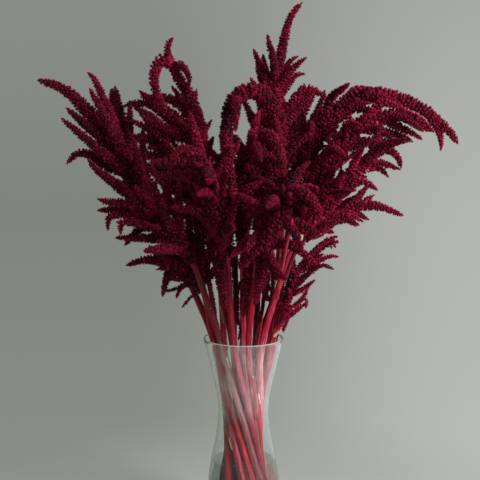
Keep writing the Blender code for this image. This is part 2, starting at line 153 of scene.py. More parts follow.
def smooth(points, perSpan=16):
    p = np.array(points, float)
    p = np.vstack([2 * p[0] - p[1], p, 2 * p[-1] - p[-2]])
    t = np.linspace(0, 1, perSpan, endpoint=False)[:, None]
    spans = []
    for a, b, c, d in zip(p, p[1:], p[2:], p[3:]):
        bend = (2 * a - 5 * b + 4 * c - d) * t**2 + (3 * b - a - 3 * c + d) * t**3
        spans.append(b + 0.5 * ((c - a) * t + bend))
    return np.vstack(spans + [p[-2:-1]])


def lengths(curve):
    return np.concatenate([[0], np.cumsum(np.linalg.norm(np.diff(curve, axis=0), axis=1))])


def pointsAt(curve, places):
    # the points at these distances along the curve, and its direction at each
    along = lengths(curve)
    path, steps = (np.column_stack([np.interp(places, along, axis) for axis in values.T])
                   for values in (curve, np.gradient(curve, axis=0)))
    return path, steps / np.linalg.norm(steps, axis=1)[:, None]


def pointAt(curve, distance):
    along = lengths(curve)
    return np.array([np.interp(distance, along, axis) for axis in curve.T])


def stations(curve, step):
    # points at equal distances of about step, three stretches at least
    total = lengths(curve)[-1]
    return pointsAt(curve, np.linspace(0, total, max(3, round(total / step)) + 1))


def atShare(curve, share):
    along = lengths(curve)
    index = min(int(np.searchsorted(along, share * along[-1])), len(curve) - 2)
    return pointAt(curve, share * along[-1]), unit(curve[index + 1] - curve[index])


def trimmed(curve, by):
    along = lengths(curve)
    end = max(along[-1] - by, along[-1] / 2)
    return np.vstack([curve[along < end], pointAt(curve, end)])


def outwardFrom(tangent, turn):
    # square to the tangent, turned round it
    side = unit(np.cross(tangent, (0.2, 0.1, 1.0)))
    across = np.cross(tangent, side)
    return math.cos(turn) * side + math.sin(turn) * across


def carriedSides(along):
    # two directions square to the curve at every station, carried along without twisting
    side = unit(np.cross(along[0], (0.31, 0.87, 0.38)))
    sides = []
    for tangent in along:
        side = unit(side - tangent * (side @ tangent))
        sides.append(side)
    sides = np.array(sides)
    return sides, np.cross(along, sides)


vaseSettings = {
    "outline": ((38, 0), (43.5, 3), (46.5, 14), (48, 45), (44, 80), (36.6, 117),
                (32.7, 150), (35.3, 178), (42.2, 208), (52, 248.6)),  # outer radius and height
    "rim": 250.0,
    "waist": 150.0,
    "wall": 2.8,
    "floor": 14.0,      # solid glass at the bottom
    "bowlFrom": 8.0,    # the inside starts to curve in this far above the floor
    "bowl": ((0.2, 4.5), (1.6, 1.9), (4.5, 0.5), (9, 0)),  # in from the wall, and up from the floor
    "foot": ((9, 1.6), (5, 0.5), (3.6, 0)),  # the hollow under the foot: in from its edge, and up
    "hub": 4.0,         # radius of the disc in the middle of every flat
    "step": 5.0,        # height of one ring of faces
    "sides": 96,
    "crease": 40,       # edges sharper than this aren't smoothed
    "glass": "#fbfefc",
    "edge": "#dcefe6",  # the green of soda-lime glass, seen edge on
    "ior": 1.5,
    "waves": 25.0,      # faint waves of hand-finished glass, one about every 25 mm
    "reflectionVeil": 0.04,      # painted reflection: share of light turned to a pale film on the glass above the waist, standing in for the reflection of a bright wall over the stems
    "reflectionStreak": 6.0,  # how wide the streaks of the painted reflection are
    "reflectionFrom": (138.0, 172.0),  # heights between which the painted reflection comes in
    "lipFrom": (1.4, 0.4),       # painted highlight on the rim, coming in between these depths below it
    # how pale the painted rim highlight makes the lip
    "rimHighlight": 0.55,
}

waterSettings = {
    "level": 86.0,
    "meniscus": 1.6,    # how far the surface climbs the glass
    "surface": ((0, 1), (0.5, 1), (1.0, 0.5), (2.0, 0.15), (4, 0)),  # in from the glass, share of that climb
    "intoGlass": 0.25,  # the side stands this far inside the glass, so no air shows between
    "tint": "#f4faf8",
    "ripple": 20.0,     # from one faint ripple to the next
    "ior": 1.333,
    "unbent": 0.6,      # share of the view that goes straight through
}


def turnedSolid(name, profile):
    # a disc drawn up ring by ring to the radius and height pairs of the profile
    deselectAll()
    radius, height = profile[0]
    bpy.ops.mesh.primitive_circle_add(vertices=vaseSettings["sides"], radius=radius * mm, fill_type="TRIFAN",
                                      location=(0, 0, height * mm))
    piece = bpy.context.object
    piece.name = piece.data.name = name
    bpy.ops.object.transform_apply(location=True, rotation=True, scale=True)
    bpy.ops.object.mode_set(mode="EDIT")
    bpy.ops.mesh.select_all(action="SELECT")
    for (radius, height), (nextRadius, nextHeight) in zip(profile, profile[1:]):
        rise = (nextHeight - height) * mm
        bpy.ops.mesh.extrude_region_move(TRANSFORM_OT_translate={"value": (0, 0, rise)})
        grow = nextRadius / radius
        bpy.ops.transform.resize(value=(grow, grow, 1), center_override=(0, 0, nextHeight * mm))
    bpy.ops.mesh.select_all(action="SELECT")
    bpy.ops.mesh.remove_doubles(threshold=0.00001)
    bpy.ops.mesh.normals_make_consistent(inside=False)
    bpy.ops.object.mode_set(mode="OBJECT")
    bpy.ops.object.shade_smooth_by_angle(angle=math.radians(vaseSettings["crease"]))
    return piece


def vaseWall():
    # outer radius and height from the foot to the rim
    path, _ = stations(smooth([(r, 0, z) for r, z in vaseSettings["outline"]]), vaseSettings["step"])
    return [(p[0], p[2]) for p in path]


def vaseProfile():
    wall, floor, hub = vaseSettings["wall"], vaseSettings["floor"], vaseSettings["hub"]
    outside = vaseWall()
    top, height = outside[-1]
    lip = [(top - wall / 2 + wall / 2 * math.cos(a), height + wall / 2 * math.sin(a))
           for a in np.linspace(0, math.pi, 9)[1:-1]]  # fire-polished round
    inside = [(r - wall, z) for r, z in reversed(outside) if z > floor + vaseSettings["bowlFrom"]]
    bowl = [(inside[-1][0] - inward, floor + up) for inward, up in vaseSettings["bowl"]]
    foot = [(outside[0][0] - inward, up) for inward, up in vaseSettings["foot"]]
    return [(hub, foot[0][1])] + foot + outside + lip + inside + bowl + [(hub, floor)]


def waterProfile():
    # the inside of the vase up to the water's level, a little within the glass
    floor, level, hub = vaseSettings["floor"], waterSettings["level"], vaseSettings["hub"]
    into, rise = waterSettings["intoGlass"], waterSettings["meniscus"]
    outside = vaseWall()
    side = [(r - vaseSettings["wall"] + into, z) for r, z in outside
            if floor + vaseSettings["bowlFrom"] < z < level - 2]
    (firstInward, firstUp), *rest = vaseSettings["bowl"]
    bottom = side[0][0]
    bowl = [(bottom - inward, floor + up - into) for inward, up in reversed(rest)]
    bowl.append((bottom - firstInward, floor + firstUp))
    radii, heights = zip(*outside)
    top = float(np.interp(level, heights, radii)) - vaseSettings["wall"] + into
    surface = [(top - inward, level + rise * share) for inward, share in waterSettings["surface"]]
    return [(hub, floor - into)] + bowl + side + surface + [(hub, level)]


def letLampsThrough(tree, shader, colour, unbent=0.0):
    # thin clear walls cast hardly any shadow, so lamp light reaches what is behind them; the share unbent of
    # the view goes straight through too
    shadow = addNode(tree, "ShaderNodeLightPath").outputs["Is Shadow Ray"]
    share = addMath(tree, "MAXIMUM", shadow, unbent)
    clear = addNode(tree, "ShaderNodeBsdfTransparent", inputs={"Color": linear(colour)}).outputs["BSDF"]
    both = addNode(tree, "ShaderNodeMixShader", inputs={0: share, 1: shader.outputs["BSDF"], 2: clear})
    output = next(node for node in tree.nodes if node.type == "OUTPUT_MATERIAL")
    tree.links.new(both.outputs["Shader"], output.inputs["Surface"])


def glassMaterial():
    # soda-lime glass, blown and fire-polished: clear, mirror-smooth, a green breath where seen edge on
    material, tree, shader = newMaterial("clear soda-lime glass", Roughness=0.0, IOR=vaseSettings["ior"])
    place = objectPlace(tree)
    height = axisOf(tree, place, "Z")
    facing = addNode(tree, "ShaderNodeLayerWeight", inputs={"Blend": 0.3}).outputs["Facing"]
    clear = vaseSettings["glass"]
    tint = addRamp(tree, facing, ((0.0, clear), (0.75, clear), (1.0, vaseSettings["edge"])))
    # painted reflection: above the waist the wall is made a little milky in upright streaks, standing in for
    # the reflection of a bright wall that veils the stems; below the waist it stays clear
    drawn = addNode(tree, "ShaderNodeVectorMath", {"operation": "MULTIPLY"}, {0: place, 1: (1.0, 1.0, 0.07)})
    streaks = addNoise(tree, drawn.outputs["Vector"], 1 / (vaseSettings["reflectionStreak"] * mm))
    reflectionVeil = vaseSettings["reflectionVeil"]
    streakedReflection = addRange(tree, streaks, 0.42, 0.72, reflectionVeil * 0.5, reflectionVeil * 3.2, "LINEAR")
    aboveWaist = addRange(tree, height, *(z * mm for z in vaseSettings["reflectionFrom"]))
    paintedReflection = addMath(tree, "MULTIPLY", streakedReflection, aboveWaist)
    # painted highlight: the fire-polished lip is made paler than the wall, most of all at the front, standing
    # in for a bright line of light along the rim
    rimHighlightHeights = [(vaseSettings["rim"] - below) * mm for below in vaseSettings["lipFrom"]]
    lip = addRange(tree, height, *rimHighlightHeights, 0.0, vaseSettings["rimHighlight"], "LINEAR")
    front = addRange(tree, axisOf(tree, place, "Y"), 0.0, -30 * mm)
    # the painted reflection and the painted rim highlight both take away transmission, so the pale base
    # colour shows there
    solid = addMath(tree, "MAXIMUM", paintedReflection, addMath(tree, "MULTIPLY", lip, front))
    tree.links.new(addMath(tree, "SUBTRACT", 1.0, solid), shader.inputs["Transmission Weight"])
    waves = addNoise(tree, place, 1 / (vaseSettings["waves"] * mm), Detail=1.0)
    finishSurface(tree, shader, tint, waves, 0.04, 0.002)
    letLampsThrough(tree, shader, "#eef5f0")
    return material


def waterMaterial():
    # still tap water: clear, with the faintest ripple so that its surface catches the light unevenly
    material, tree, shader = newMaterial(
        "still water", Roughness=0.0, Transmission_Weight=0.975, IOR=waterSettings["ior"])
    ripple = addNoise(tree, objectPlace(tree), 1 / (waterSettings["ripple"] * mm))
    tint = addRamp(tree, ripple, ((0.3, waterSettings["tint"]), (0.7, "#eef6f2")))
    finishSurface(tree, shader, tint, ripple, 0.03, 0.002)
    letLampsThrough(tree, shader, "#f4f8f6", waterSettings["unbent"])
    return material


# One row for each stalk, as in the CAD: where it crosses the rim, the radii of its stem, core and last spike,
# the head's axis, the side spikes that shape the outline (share along the axis, then points), the rule for
# the others (how many, first and last share, longest, spread, rise), and those that fill what it leaves open.
stalks = {
    "far_left": dict(
        ring="outer", azimuth=172, stem=4.8, core=17, terminal=11.5, seed=3, skin="raspberry",
        axis=((-85, 8, 353), (-121, 14, 429), (-162, 20, 492), (-196, 22, 536), (-211, 22, 553),
              (-227, 20, 568), (-247, 18, 577), (-265, 16, 582)),
        named=((0.45, (-183, 10, 569), (-198, 8, 593)), (0.42, (-183, -8, 551), (-194, -10, 573)),
               (0.40, (-161, 36, 548), (-167, 44, 575)), (0.35, (-207, -4, 514), (-231, -10, 535)),
               (0.52, (-208, 8, 531), (-225, 6, 543)), (0.40, (-206, 32, 487), (-231, 28, 473)),
               (0.20, (-182, -6, 465), (-198, -12, 485)),
               (0.05, (-95, 2, 344), (-100, -4, 325), (-104, -8, 306))),
        rule=(10, 0.06, 0.62, 88, 38, 0.35),
        filled=((0.58, (-168, 33, 540), (-173, 66, 571)), (0.13, (-127, -17, 397), (-150, -41, 376)))),
    "loop_left": dict(
        ring="inner", azimuth=180, stem=4.4, core=15, terminal=9, seed=6, skin="ruby",
        axis=((-46, 6, 390), (-52, 8, 457), (-57, 8, 506), (-62, 6, 538), (-70, 4, 563), (-82, 2, 584),
              (-91, 0, 604), (-96, -2, 618), (-92, -2, 630), (-85, -2, 630)),
        named=((0.85, (-100, -6, 608), (-110, -8, 597), (-112, -12, 578), (-106, -16, 560),
                (-95, -20, 544)),
               (0.86, (-79, -10, 601), (-69, -13, 588), (-68, -14, 572)),
               (0.50, (-117, 20, 555), (-135, 24, 569)),
               (0.42, (-108, 24, 543), (-134, 25, 552), (-157, 24, 547))),
        rule=(7, 0.04, 0.49, 67, 38, -0.05),
        filled=((0.58, (-77, 18, 553), (-93, 24, 575)), (0.56, (-90, 13, 556), (-134, 23, 560)),
                (0.47, (-102, 6, 513), (-145, 4, 532)), (0.49, (-93, -1, 518), (-122, -9, 544)))),
    "centre_arch": dict(
        ring="inner", azimuth=0, stem=4.6, core=12.5, terminal=10.5, seed=19, skin="wine",
        axis=((22, -6, 402), (37, -12, 466), (43, -20, 520), (30, -28, 558), (13, -36, 569),
              (-4, -42, 565), (-17, -50, 549), (-20, -60, 522), (-22, -70, 492), (-20, -76, 470),
              (-18, -79, 452)),
        named=(),
        rule=(8, 0.04, 0.40, 78, 42, -0.1),
        filled=((0.66, (-9, -75, 548), (-10, -95, 522)),)),
    "top_spire": dict(
        ring="inner", azimuth=90, stem=4.4, core=15, terminal=8.5, seed=15, skin="wine",
        axis=((18, 22, 390), (24, 26, 453), (30, 30, 504), (37, 30, 549), (43, 28, 592), (49, 26, 619),
              (55, 24, 647), (62, 22, 665), (75, 20, 680)),
        named=((0.70, (35, 26, 619), (30, 22, 640)), (0.60, (22, 26, 600), (12, 24, 622)),
               (0.52, (23, 40, 581), (16, 44, 604)), (0.44, (16, 10, 569), (8, 6, 586)),
               (0.62, (66, 18, 599), (81, 14, 611)), (0.64, (59, 34, 604), (71, 36, 612)),
               (0.54, (65, 36, 585), (81, 40, 589)), (0.36, (73, 26, 566), (90, 24, 567), (108, 20, 559))),
        rule=(8, 0.04, 0.80, 76, 40, 0.3),
        filled=()),
    "high_arch": dict(
        ring="outer", azimuth=26, stem=4.9, core=13.5, terminal=10.5, seed=32, skin="raspberry",
        axis=((53, 10, 421), (77, 6, 478), (97, 2, 516), (120, -2, 543), (144, -4, 559), (170, -4, 563),
              (197, -4, 558), (223, -4, 547), (243, -4, 533), (260, -4, 518), (273, -4, 500)),
        named=((0.84, (249, -2, 514), (251, -2, 492)),),
        rule=(10, 0.05, 0.62, 78, 32, -0.55),
        filled=()),
    "low_arch": dict(
        ring="outer", azimuth=356, stem=4.7, core=15, terminal=10.5, seed=35, skin="raspberry",
        axis=((59, -14, 400), (89, -24, 455), (117, -30, 498), (138, -34, 523), (164, -34, 536),
              (192, -34, 539), (214, -34, 531), (234, -34, 518)),
        named=((0.74, (207, -42, 518), (222, -44, 509)), (0.62, (193, -28, 514), (213, -26, 505)),
               (0.45, (164, -36, 509), (189, -38, 500))),
        rule=(9, 0.05, 0.80, 78, 32, -0.75),
        filled=((0.81, (210, -51, 538), (233, -65, 519)),)),
    "right_mid": dict(
        ring="outer", azimuth=306, stem=4.4, core=15, terminal=8.5, seed=42, skin="pink",
        axis=((67, -42, 386), (99, -58, 431), (128, -68, 464), (151, -72, 487), (170, -75, 499),
              (185, -76, 493), (192, -76, 476)),
        named=((0.60, (162, -66, 477), (179, -64, 464)), (0.42, (141, -82, 462), (164, -84, 450))),
        rule=(8, 0.05, 0.80, 59, 38, -0.3),
        filled=((0.67, (168, -91, 505), (199, -115, 515)),)),
    "right_low": dict(
        ring="outer", azimuth=54, stem=4.2, core=13, terminal=8, seed=19, skin="wine",
        axis=((68, 28, 363), (98, 34, 389), (127, 38, 411), (153, 40, 418), (180, 38, 416), (211, 36, 404)),
        named=((0.40, (137, 34, 406), (158, 30, 397)), (0.30, (128, 26, 402), (148, 22, 392))),
        rule=(8, 0.05, 0.62, 55, 36, -0.2),
        filled=()),
    "right_spray": dict(
        ring="outer", azimuth=331, stem=3.4, core=7.5, terminal=5.2, seed=15, skin="ruby",
        axis=((47, -20, 270), (57, -24, 304), (68, -28, 340), (85, -30, 364), (104, -30, 380),
              (120, -30, 388)),
        named=((0.10, (74, -18, 303), (85, -14, 324)), (0.04, (67, -22, 289), (82, -20, 301)),
               (0.52, (105, -24, 359), (123, -20, 359)), (0.36, (94, -34, 349), (115, -38, 346))),
        rule=(4, 0.06, 0.70, 44, 42, 0.1),
        filled=((0.15, (31, -18, 306), (14, -14, 327)),)),
    "left_mid": dict(
        ring="outer", azimuth=225, stem=4.4, core=15, terminal=8.5, seed=57, skin="russet",
        axis=((-65, -40, 356), (-94, -56, 395), (-119, -64, 419), (-142, -68, 432), (-161, -70, 434),
              (-180, -70, 439)),
        named=((0.60, (-162, -62, 417), (-169, -58, 397)), (0.48, (-146, -74, 412), (-151, -76, 394))),
        rule=(9, 0.05, 0.62, 76, 40, -0.1),
        filled=()),
    "left_low": dict(
        ring="outer", azimuth=199, stem=3.8, core=11.5, terminal=7, seed=4, skin="ruby",
        axis=((-53, -16, 315), (-74, -24, 341), (-98, -28, 354), (-122, -30, 357), (-150, -30, 349)),
        named=((0.34, (-96, -22, 331), (-103, -20, 314)), (0.12, (-78, -26, 322), (-86, -28, 306))),
        rule=(6, 0.08, 0.62, 45, 42, -0.1),
        filled=((0.09, (-57, -9, 360), (-58, -2, 397)), (0.09, (-43, -12, 366), (-25, -4, 407)),
                (0.24, (-69, -10, 381), (-71, -2, 427)), (0.07, (-33, -15, 343), (-4, -13, 355)))),
    "front_left": dict(
        ring="outer", azimuth=252, stem=4.5, core=18, terminal=9.5, seed=39, skin="raspberry",
        axis=((-21, -56, 368), (-31, -84, 424), (-43, -108, 468), (-56, -126, 496), (-72, -138, 505),
              (-86, -144, 492)),
        named=((0.08, (-30, -72, 356), (-27, -70, 325), (-21, -68, 300)),),
        rule=(12, 0.04, 0.80, 84, 46, -0.2),
        filled=()),
    "front_centre": dict(
        ring="inner", azimuth=270, stem=4.4, core=17, terminal=10, seed=49, skin="pink",
        axis=((-1, -24, 377), (-1, -46, 435), (6, -68, 484), (19, -90, 513), (33, -108, 516),
              (44, -120, 494), (47, -126, 470)),
        named=((0.07, (6, -46, 362), (4, -50, 322), (-1, -50, 283)),
               (0.05, (-7, -40, 350), (-11, -48, 321), (-12, -50, 288)),
               (0.08, (13, -58, 359), (18, -66, 332), (18, -68, 305))),
        rule=(12, 0.04, 0.62, 84, 46, -0.55),
        filled=()),
    "front_right": dict(
        ring="outer", azimuth=279, stem=4.5, core=16, terminal=9.5, seed=33, skin="ruby",
        axis=((20, -58, 362), (33, -88, 408), (49, -114, 441), (66, -132, 454), (82, -142, 442),
              (91, -146, 420)),
        named=((0.09, (26, -76, 349), (16, -74, 314)),),
        rule=(11, 0.04, 0.62, 80, 46, -0.5),
        filled=((0.14, (36, -106, 361), (50, -150, 352)),)),
    "back_right": dict(
        ring="outer", azimuth=84, stem=4.6, core=16, terminal=9, seed=31, skin="wine",
        axis=((20, 58, 348), (33, 88, 414), (53, 118, 470), (80, 142, 502), (108, 156, 504),
              (133, 164, 482)),
        named=(),
        rule=(10, 0.05, 0.80, 88, 44, -0.1),
        filled=((0.79, (101, 135, 535), (112, 128, 567)), (0.66, (80, 132, 530), (102, 136, 570)))),
    "back_left": dict(
        ring="outer", azimuth=130, stem=4.6, core=16, terminal=9, seed=35, skin="ruby",
        axis=((-36, 50, 349), (-60, 82, 409), (-89, 112, 463), (-123, 134, 496), (-154, 148, 498),
              (-182, 156, 477)),
        named=(),
        rule=(10, 0.05, 0.80, 88, 44, -0.4),
        filled=((0.73, (-131, 117, 529), (-154, 94, 553)), (0.56, (-130, 138, 476), (-170, 162, 482)),
                (0.33, (-100, 67, 442), (-130, 50, 474)))),
}

crossingSettings = {
    "rings": {"outer": {"foot": 36.0, "rim": 41.0}, "inner": {"foot": 13.5, "rim": 16.0}},
    "twist": 112,           # how far a stem turns round the vase's middle from its rim to its foot
    "gap": 0.3,             # between the foot and the glass
    "footRise": 0.32,       # over the stem's radius, as it stands at a slant
}

spikeSettings = {
    "least": 3.0,           # radius of a side spike, which grows with its length
    "perLength": 0.055,
    "most": 8.0,
    "rootRadius": 0.75,     # share of the radius at the root, full after a fifth of the length
    "rootSwell": 1.2,
    "tipRadius": 0.34,
    "tipTrim": 0.85,        # a spike ends this far before its last point, over its radius
    "axisTaper": 3.2,       # the higher, the later it thins
    "sideTaper": 2.2,
    "corePlace": 0.36,      # share along the axis where the core is thickest
    "coreSpread": 0.24,
    "relief": 0.15,         # of the facets on the solids, a share of the radius
    "clearance": 1.3,       # between one head and another
    "sample": 6.0,          # a ball this often stands in for a spike when its room is looked for
    "overRim": 4.0,         # no spike comes lower than this over the rim
    "neckFree": 3.0,        # end of the stem that side spikes may touch
    "shifts": (0, 6, -6, 12, -12, 18, -18, 26, -26),  # tried in depth for a spike through given points
    "tries": 14,            # for a spike placed by the rule
    "tryTurn": 0.38,        # radians further round the axis at each of them
    "tryShorter": 0.75,
    "shorterUp": 0.45,      # how much shorter they get towards the tip
    "lengths": (0.85, 1.15),  # the chance in each
    "turns": (-0.3, 0.3),
    "leans": (0.8, 1.2),
    "lifts": (-0.25, 0.25),
}


# Where each stem and spike runs, found as in the CAD so that the florets cover its solids
def spikeRadius(radius, share, taper=spikeSettings["sideTaper"]):
    root = min(1.0, spikeSettings["rootRadius"] + spikeSettings["rootSwell"] * share)
    return radius * root * (1 - (1 - spikeSettings["tipRadius"]) * share**taper)


def swollenPart(stalk, share):
    swell = math.exp(-(((share - spikeSettings["corePlace"]) / spikeSettings["coreSpread"]) ** 2))
    return (stalk["core"] - stalk["terminal"]) * swell


def coreRadius(stalk, share):
    return spikeRadius(stalk["terminal"], share, spikeSettings["axisTaper"]) + swollenPart(stalk, share)


def sideRadius(curve):
    grown = spikeSettings["least"] + spikeSettings["perLength"] * lengths(curve)[-1]
    return min(spikeSettings["most"], grown)


def stemCurve(stalk):
    # from the foot on the vase's floor to the neck, and the head's axis from there on
    ring = crossingSettings["rings"][stalk["ring"]]
    atRim = math.radians(stalk["azimuth"])
    atFoot = atRim + math.radians(crossingSettings["twist"])
    base = vaseSettings["floor"] + crossingSettings["gap"] + stalk["stem"] * crossingSettings["footRise"]
    foot = np.array([ring["foot"] * math.cos(atFoot), ring["foot"] * math.sin(atFoot), base])
    rim = np.array([ring["rim"] * math.cos(atRim), ring["rim"] * math.sin(atRim), vaseSettings["rim"]])
    waist = foot + (rim - foot) * (vaseSettings["waist"] - foot[2]) / (rim[2] - foot[2])
    curve = smooth([foot, waist, rim, *stalk["axis"]])
    neck = int(np.argmin(np.linalg.norm(curve - np.array(stalk["axis"][0]), axis=1)))
    return curve[: neck + 1], curve[neck:]


def ballsAlong(curve, radiusAt):
    path, _ = stations(curve, spikeSettings["sample"])
    return np.column_stack([path, [radiusAt(s) for s in np.linspace(0, 1, len(path))]])


def isClear(taken, owners, balls, owner):
    others = taken[owners != owner]
    apart = np.linalg.norm(balls[:, None, :3] - others[None, :, :3], axis=2)
    room = balls[:, None, 3] + others[None, :, 3] + spikeSettings["clearance"]
    lowest = vaseSettings["rim"] + spikeSettings["overRim"]
    return bool((apart > room).all()) and bool((balls[:, 2] - balls[:, 3] > lowest).all())


def namedTries(axis, spike):
    # a spike through given points, and the same moved in depth
    share, *points = spike
    start, _ = atShare(axis, share)
    for shift in spikeSettings["shifts"]:
        moved = [np.add(p, (0, shift * (k + 1) / len(points), 0)) for k, p in enumerate(points)]
        curve = smooth([start, *moved])
        yield trimmed(curve, sideRadius(curve) * spikeSettings["tipTrim"])


def ruledTries(axis, rule, k, rng):
    # a spike of its own length and lean, and the same turned round the axis
    count, firstShare, lastShare, longest, spread, rise = rule
    share = firstShare + (lastShare - firstShare) * (k + 0.5) / count
    start, tangent = atShare(axis, share)
    length = longest * (1 - spikeSettings["shorterUp"] * share) * rng.uniform(*spikeSettings["lengths"])
    angle = goldenAngle * k + rng.uniform(*spikeSettings["turns"])
    lean = math.radians(spread * rng.uniform(*spikeSettings["leans"]))
    lift = np.array([0, 0, rise + rng.uniform(*spikeSettings["lifts"])])
    for attempt in range(spikeSettings["tries"]):
        turned = angle + (attempt + 1) // 2 * (-1) ** attempt * spikeSettings["tryTurn"]
        early = attempt < spikeSettings["tries"] // 2
        reach = length * (1.0 if early else spikeSettings["tryShorter"])
        first = math.cos(lean) * tangent + math.sin(lean) * outwardFrom(tangent, turned)
        middle = start + first * reach * 0.5
        yield smooth([start, middle, middle + unit(first + lift) * reach * 0.5])


def layOut():
    plan, balls, owners = {}, [], []
    relief = 1 + spikeSettings["relief"]
    for name, stalk in stalks.items():
        stem, axis = stemCurve(stalk)
        axis = trimmed(axis, stalk["terminal"] * spikeSettings["tipTrim"])
        plan[name] = {"stem": stem, "axis": axis, "spikes": []}
        along = lengths(stem)
        belowNeck = ballsAlong(stem[along < along[-1] - spikeSettings["neckFree"]], lambda s: stalk["stem"])
        core = ballsAlong(axis, lambda s: coreRadius(stalk, s) * relief)
        balls += [belowNeck, core]
        owners += ["stem_" + name] * len(belowNeck) + [name] * len(core)
    taken, owners = np.vstack(balls), np.array(owners)

    named, filled = ([(name, namedTries(plan[name]["axis"], spike)) for name in stalks
                      for spike in stalks[name][key]] for key in ("named", "filled"))
    ruled = []
    for name, stalk in stalks.items():
        rng, rule = random.Random(stalk["seed"]), stalk["rule"]
        ruled += [(name, ruledTries(plan[name]["axis"], rule, k, rng)) for k in range(rule[0])]
    for name, tries in named + ruled + filled:
        for curve in tries:
            radius = sideRadius(curve)
            found = ballsAlong(curve, lambda s: spikeRadius(radius, s) * relief)
            if isClear(taken, owners, found, name):
                taken = np.vstack([taken, found])
                owners = np.concatenate([owners, [name] * len(found)])
                plan[name]["spikes"].append(curve)
                break
    return plan


stemSettings = {
    "taper": 0.8,        # radius at the neck over radius at the foot
    "step": 5.0,
    "sides": 24,
    "ribs": 8,
    "ribDepth": 0.06,    # share of the radius
    "crease": 50,
    "intoHead": 4.0,     # the neck runs into the head's first florets
    "firstScar": (8, 24),  # above the foot
    "lastScar": 10,      # below the neck, or further
    "scarSpacing": 34.0,
    "scarLength": 4.5,
    "scarWidth": 0.7,    # radians round the stem
    "scarSwell": 0.13,
    "grainLength": 100,  # the streaks are drawn out along this much of the stem
}


def ribbedProfile():
    # the section of a stem, drawn once: a closed curve with shallow ribs, radius 1
    sides = stemSettings["sides"]
    curve = bpy.data.curves.new("stemSection", "CURVE")
    spline = curve.splines.new("POLY")
    spline.points.add(sides - 1)
    for k, point in enumerate(spline.points):
        a = 2 * math.pi * k / sides
        r = 1 + stemSettings["ribDepth"] * math.cos(stemSettings["ribs"] * a)
        point.co = (r * math.cos(a), r * math.sin(a), 0, 1)
    spline.use_cyclic_u = True
    return addObject("stemSection", curve)


def drawTube(name, path, along, radii, section):
    # the section drawn along the path; its pattern follows the angle round it and the distance along it
    curve = bpy.data.curves.new(name, "CURVE")
    curve.dimensions = "3D"
    curve.bevel_mode = "OBJECT"
    curve.bevel_object = section
    curve.use_fill_caps = True
    spline = curve.splines.new("POLY")
    spline.points.add(len(path) - 1)
    for point, place, radius in zip(spline.points, path, radii):
        point.co = (*place * mm, 1)
        point.radius = radius * mm
    piece = addObject(name, curve)
    deselectAll()
    piece.select_set(True)
    bpy.context.view_layer.objects.active = piece
    bpy.ops.object.convert(target="MESH")
    piece = bpy.context.object
    places = np.empty(len(piece.data.vertices) * 3)
    piece.data.vertices.foreach_get("co", places)
    places = places.reshape(-1, 3) / mm
    nearest = np.argmin(np.linalg.norm(places[:, None] - path[None], axis=2), axis=1)
    sides, across = carriedSides(along)
    offset = places - path[nearest]
    angle = np.arctan2((offset * across[nearest]).sum(1), (offset * sides[nearest]).sum(1))
    travel = lengths(path)[nearest]
    grain = np.column_stack([np.cos(angle), np.sin(angle), travel / stemSettings["grainLength"]])
    piece.data.attributes.new("grain", "FLOAT_VECTOR", "POINT").data.foreach_set("vector", grain.ravel())
    bpy.ops.object.shade_smooth_by_angle(angle=math.radians(stemSettings["crease"]))
    return piece, places, offset, angle, travel


def buildStem(name, curve, radius, section, rng):
    path, along = stations(curve, stemSettings["step"])
    path[-1] += along[-1] * stemSettings["intoHead"]
    radii = radius * np.linspace(1, stemSettings["taper"], len(path))
    piece, places, offset, angle, travel = drawTube("stalk_" + name, path, along, radii, section)

    # leaf scars, one every few centimetres and each further round, swell the stem a little
    swell = np.zeros(len(places))
    highest = travel.max() - stemSettings["lastScar"]
    scars = np.arange(rng.uniform(*stemSettings["firstScar"]), highest, stemSettings["scarSpacing"])
    for k, place in enumerate(scars):
        turn = goldenAngle * k + rng.uniform(0, 6)
        gap = np.angle(np.exp(1j * (angle - turn)))
        swell += np.exp(-((travel - place) / stemSettings["scarLength"]) ** 2
                        - (gap / stemSettings["scarWidth"]) ** 2)
    places += offset * (swell * stemSettings["scarSwell"])[:, None]
    piece.data.vertices.foreach_set("co", (places * mm).ravel())
    scar = piece.data.attributes.new("scar", "FLOAT", "POINT")
    scar.data.foreach_set("value", np.clip(swell, 0, 1))
    piece.data.update()
    return piece


# Thin side shoots, cut leaf stalks and shreds of leaf on the stems, by skin: radii at both ends, and points
trimmings = {
    "cream": (
        (2.5, 2.0, ((68, -94, 391), (69, -95, 394), (70, -95, 398))),
        (1.6, 1.9, ((40, 11, 312), (41, 10, 317), (42, 9, 323))),
        (1.8, 1.2, ((39, -30, 258), (43, -32, 263), (48, -34, 267))),
        (0.7, 0.9, ((12, -35, 207), (17, 15, 182), (19, -19, 179), (21, -16, 166))),
        (0.8, 0.6, ((-21, -32, 231), (-19, -32, 223), (-17, -31, 217)))),
    "olive": (
        (1.2, 0.8, ((-31, 33, 285), (-28, 30, 273), (-27, 28, 262))),
        (0.9, 0.9, ((-27, -12, 164), (-24, -14, 150), (-22, -7, 130), (-18, -20, 118), (-15, -22, 106))),
        (0.8, 0.7, ((-23, -15, 165), (-27, 2, 149), (-24, -5, 135), (-20, -10, 120))),
        (0.8, 0.8, ((15, -18, 144), (18, -19, 127), (20, -18, 109), (24, -14, 92)))),
    "pink": (
        (1.6, 2.2, ((57, -134, 422), (55, -130, 409), (50, -116, 383), (47, -92, 357), (44, -68, 333),
                    (42, -50, 311))),),
    "raspberry": (
        (2.7, 2.5, ((53, -60, 341), (58, -78, 362), (64, -90, 380), (68, -94, 393))),),
    "ruby": (
        (2.6, 2.2, ((-52, -6, 350), (-40, -12, 302), (-32, -18, 253), (-19, -24, 222))),
        (2.6, 2.0, ((31, -12, 359), (26, -14, 305), (20, -12, 254), (16, -10, 225))),
        (1.7, 1.4, ((-24, -30, 323), (-16, -36, 283), (-10, -34, 249), (-4, -28, 226)))),
    "wine": (
        (3.0, 2.4, ((-10, -20, 365), (-10, -20, 303), (-11, -16, 253), (-7, -12, 217))),),
}

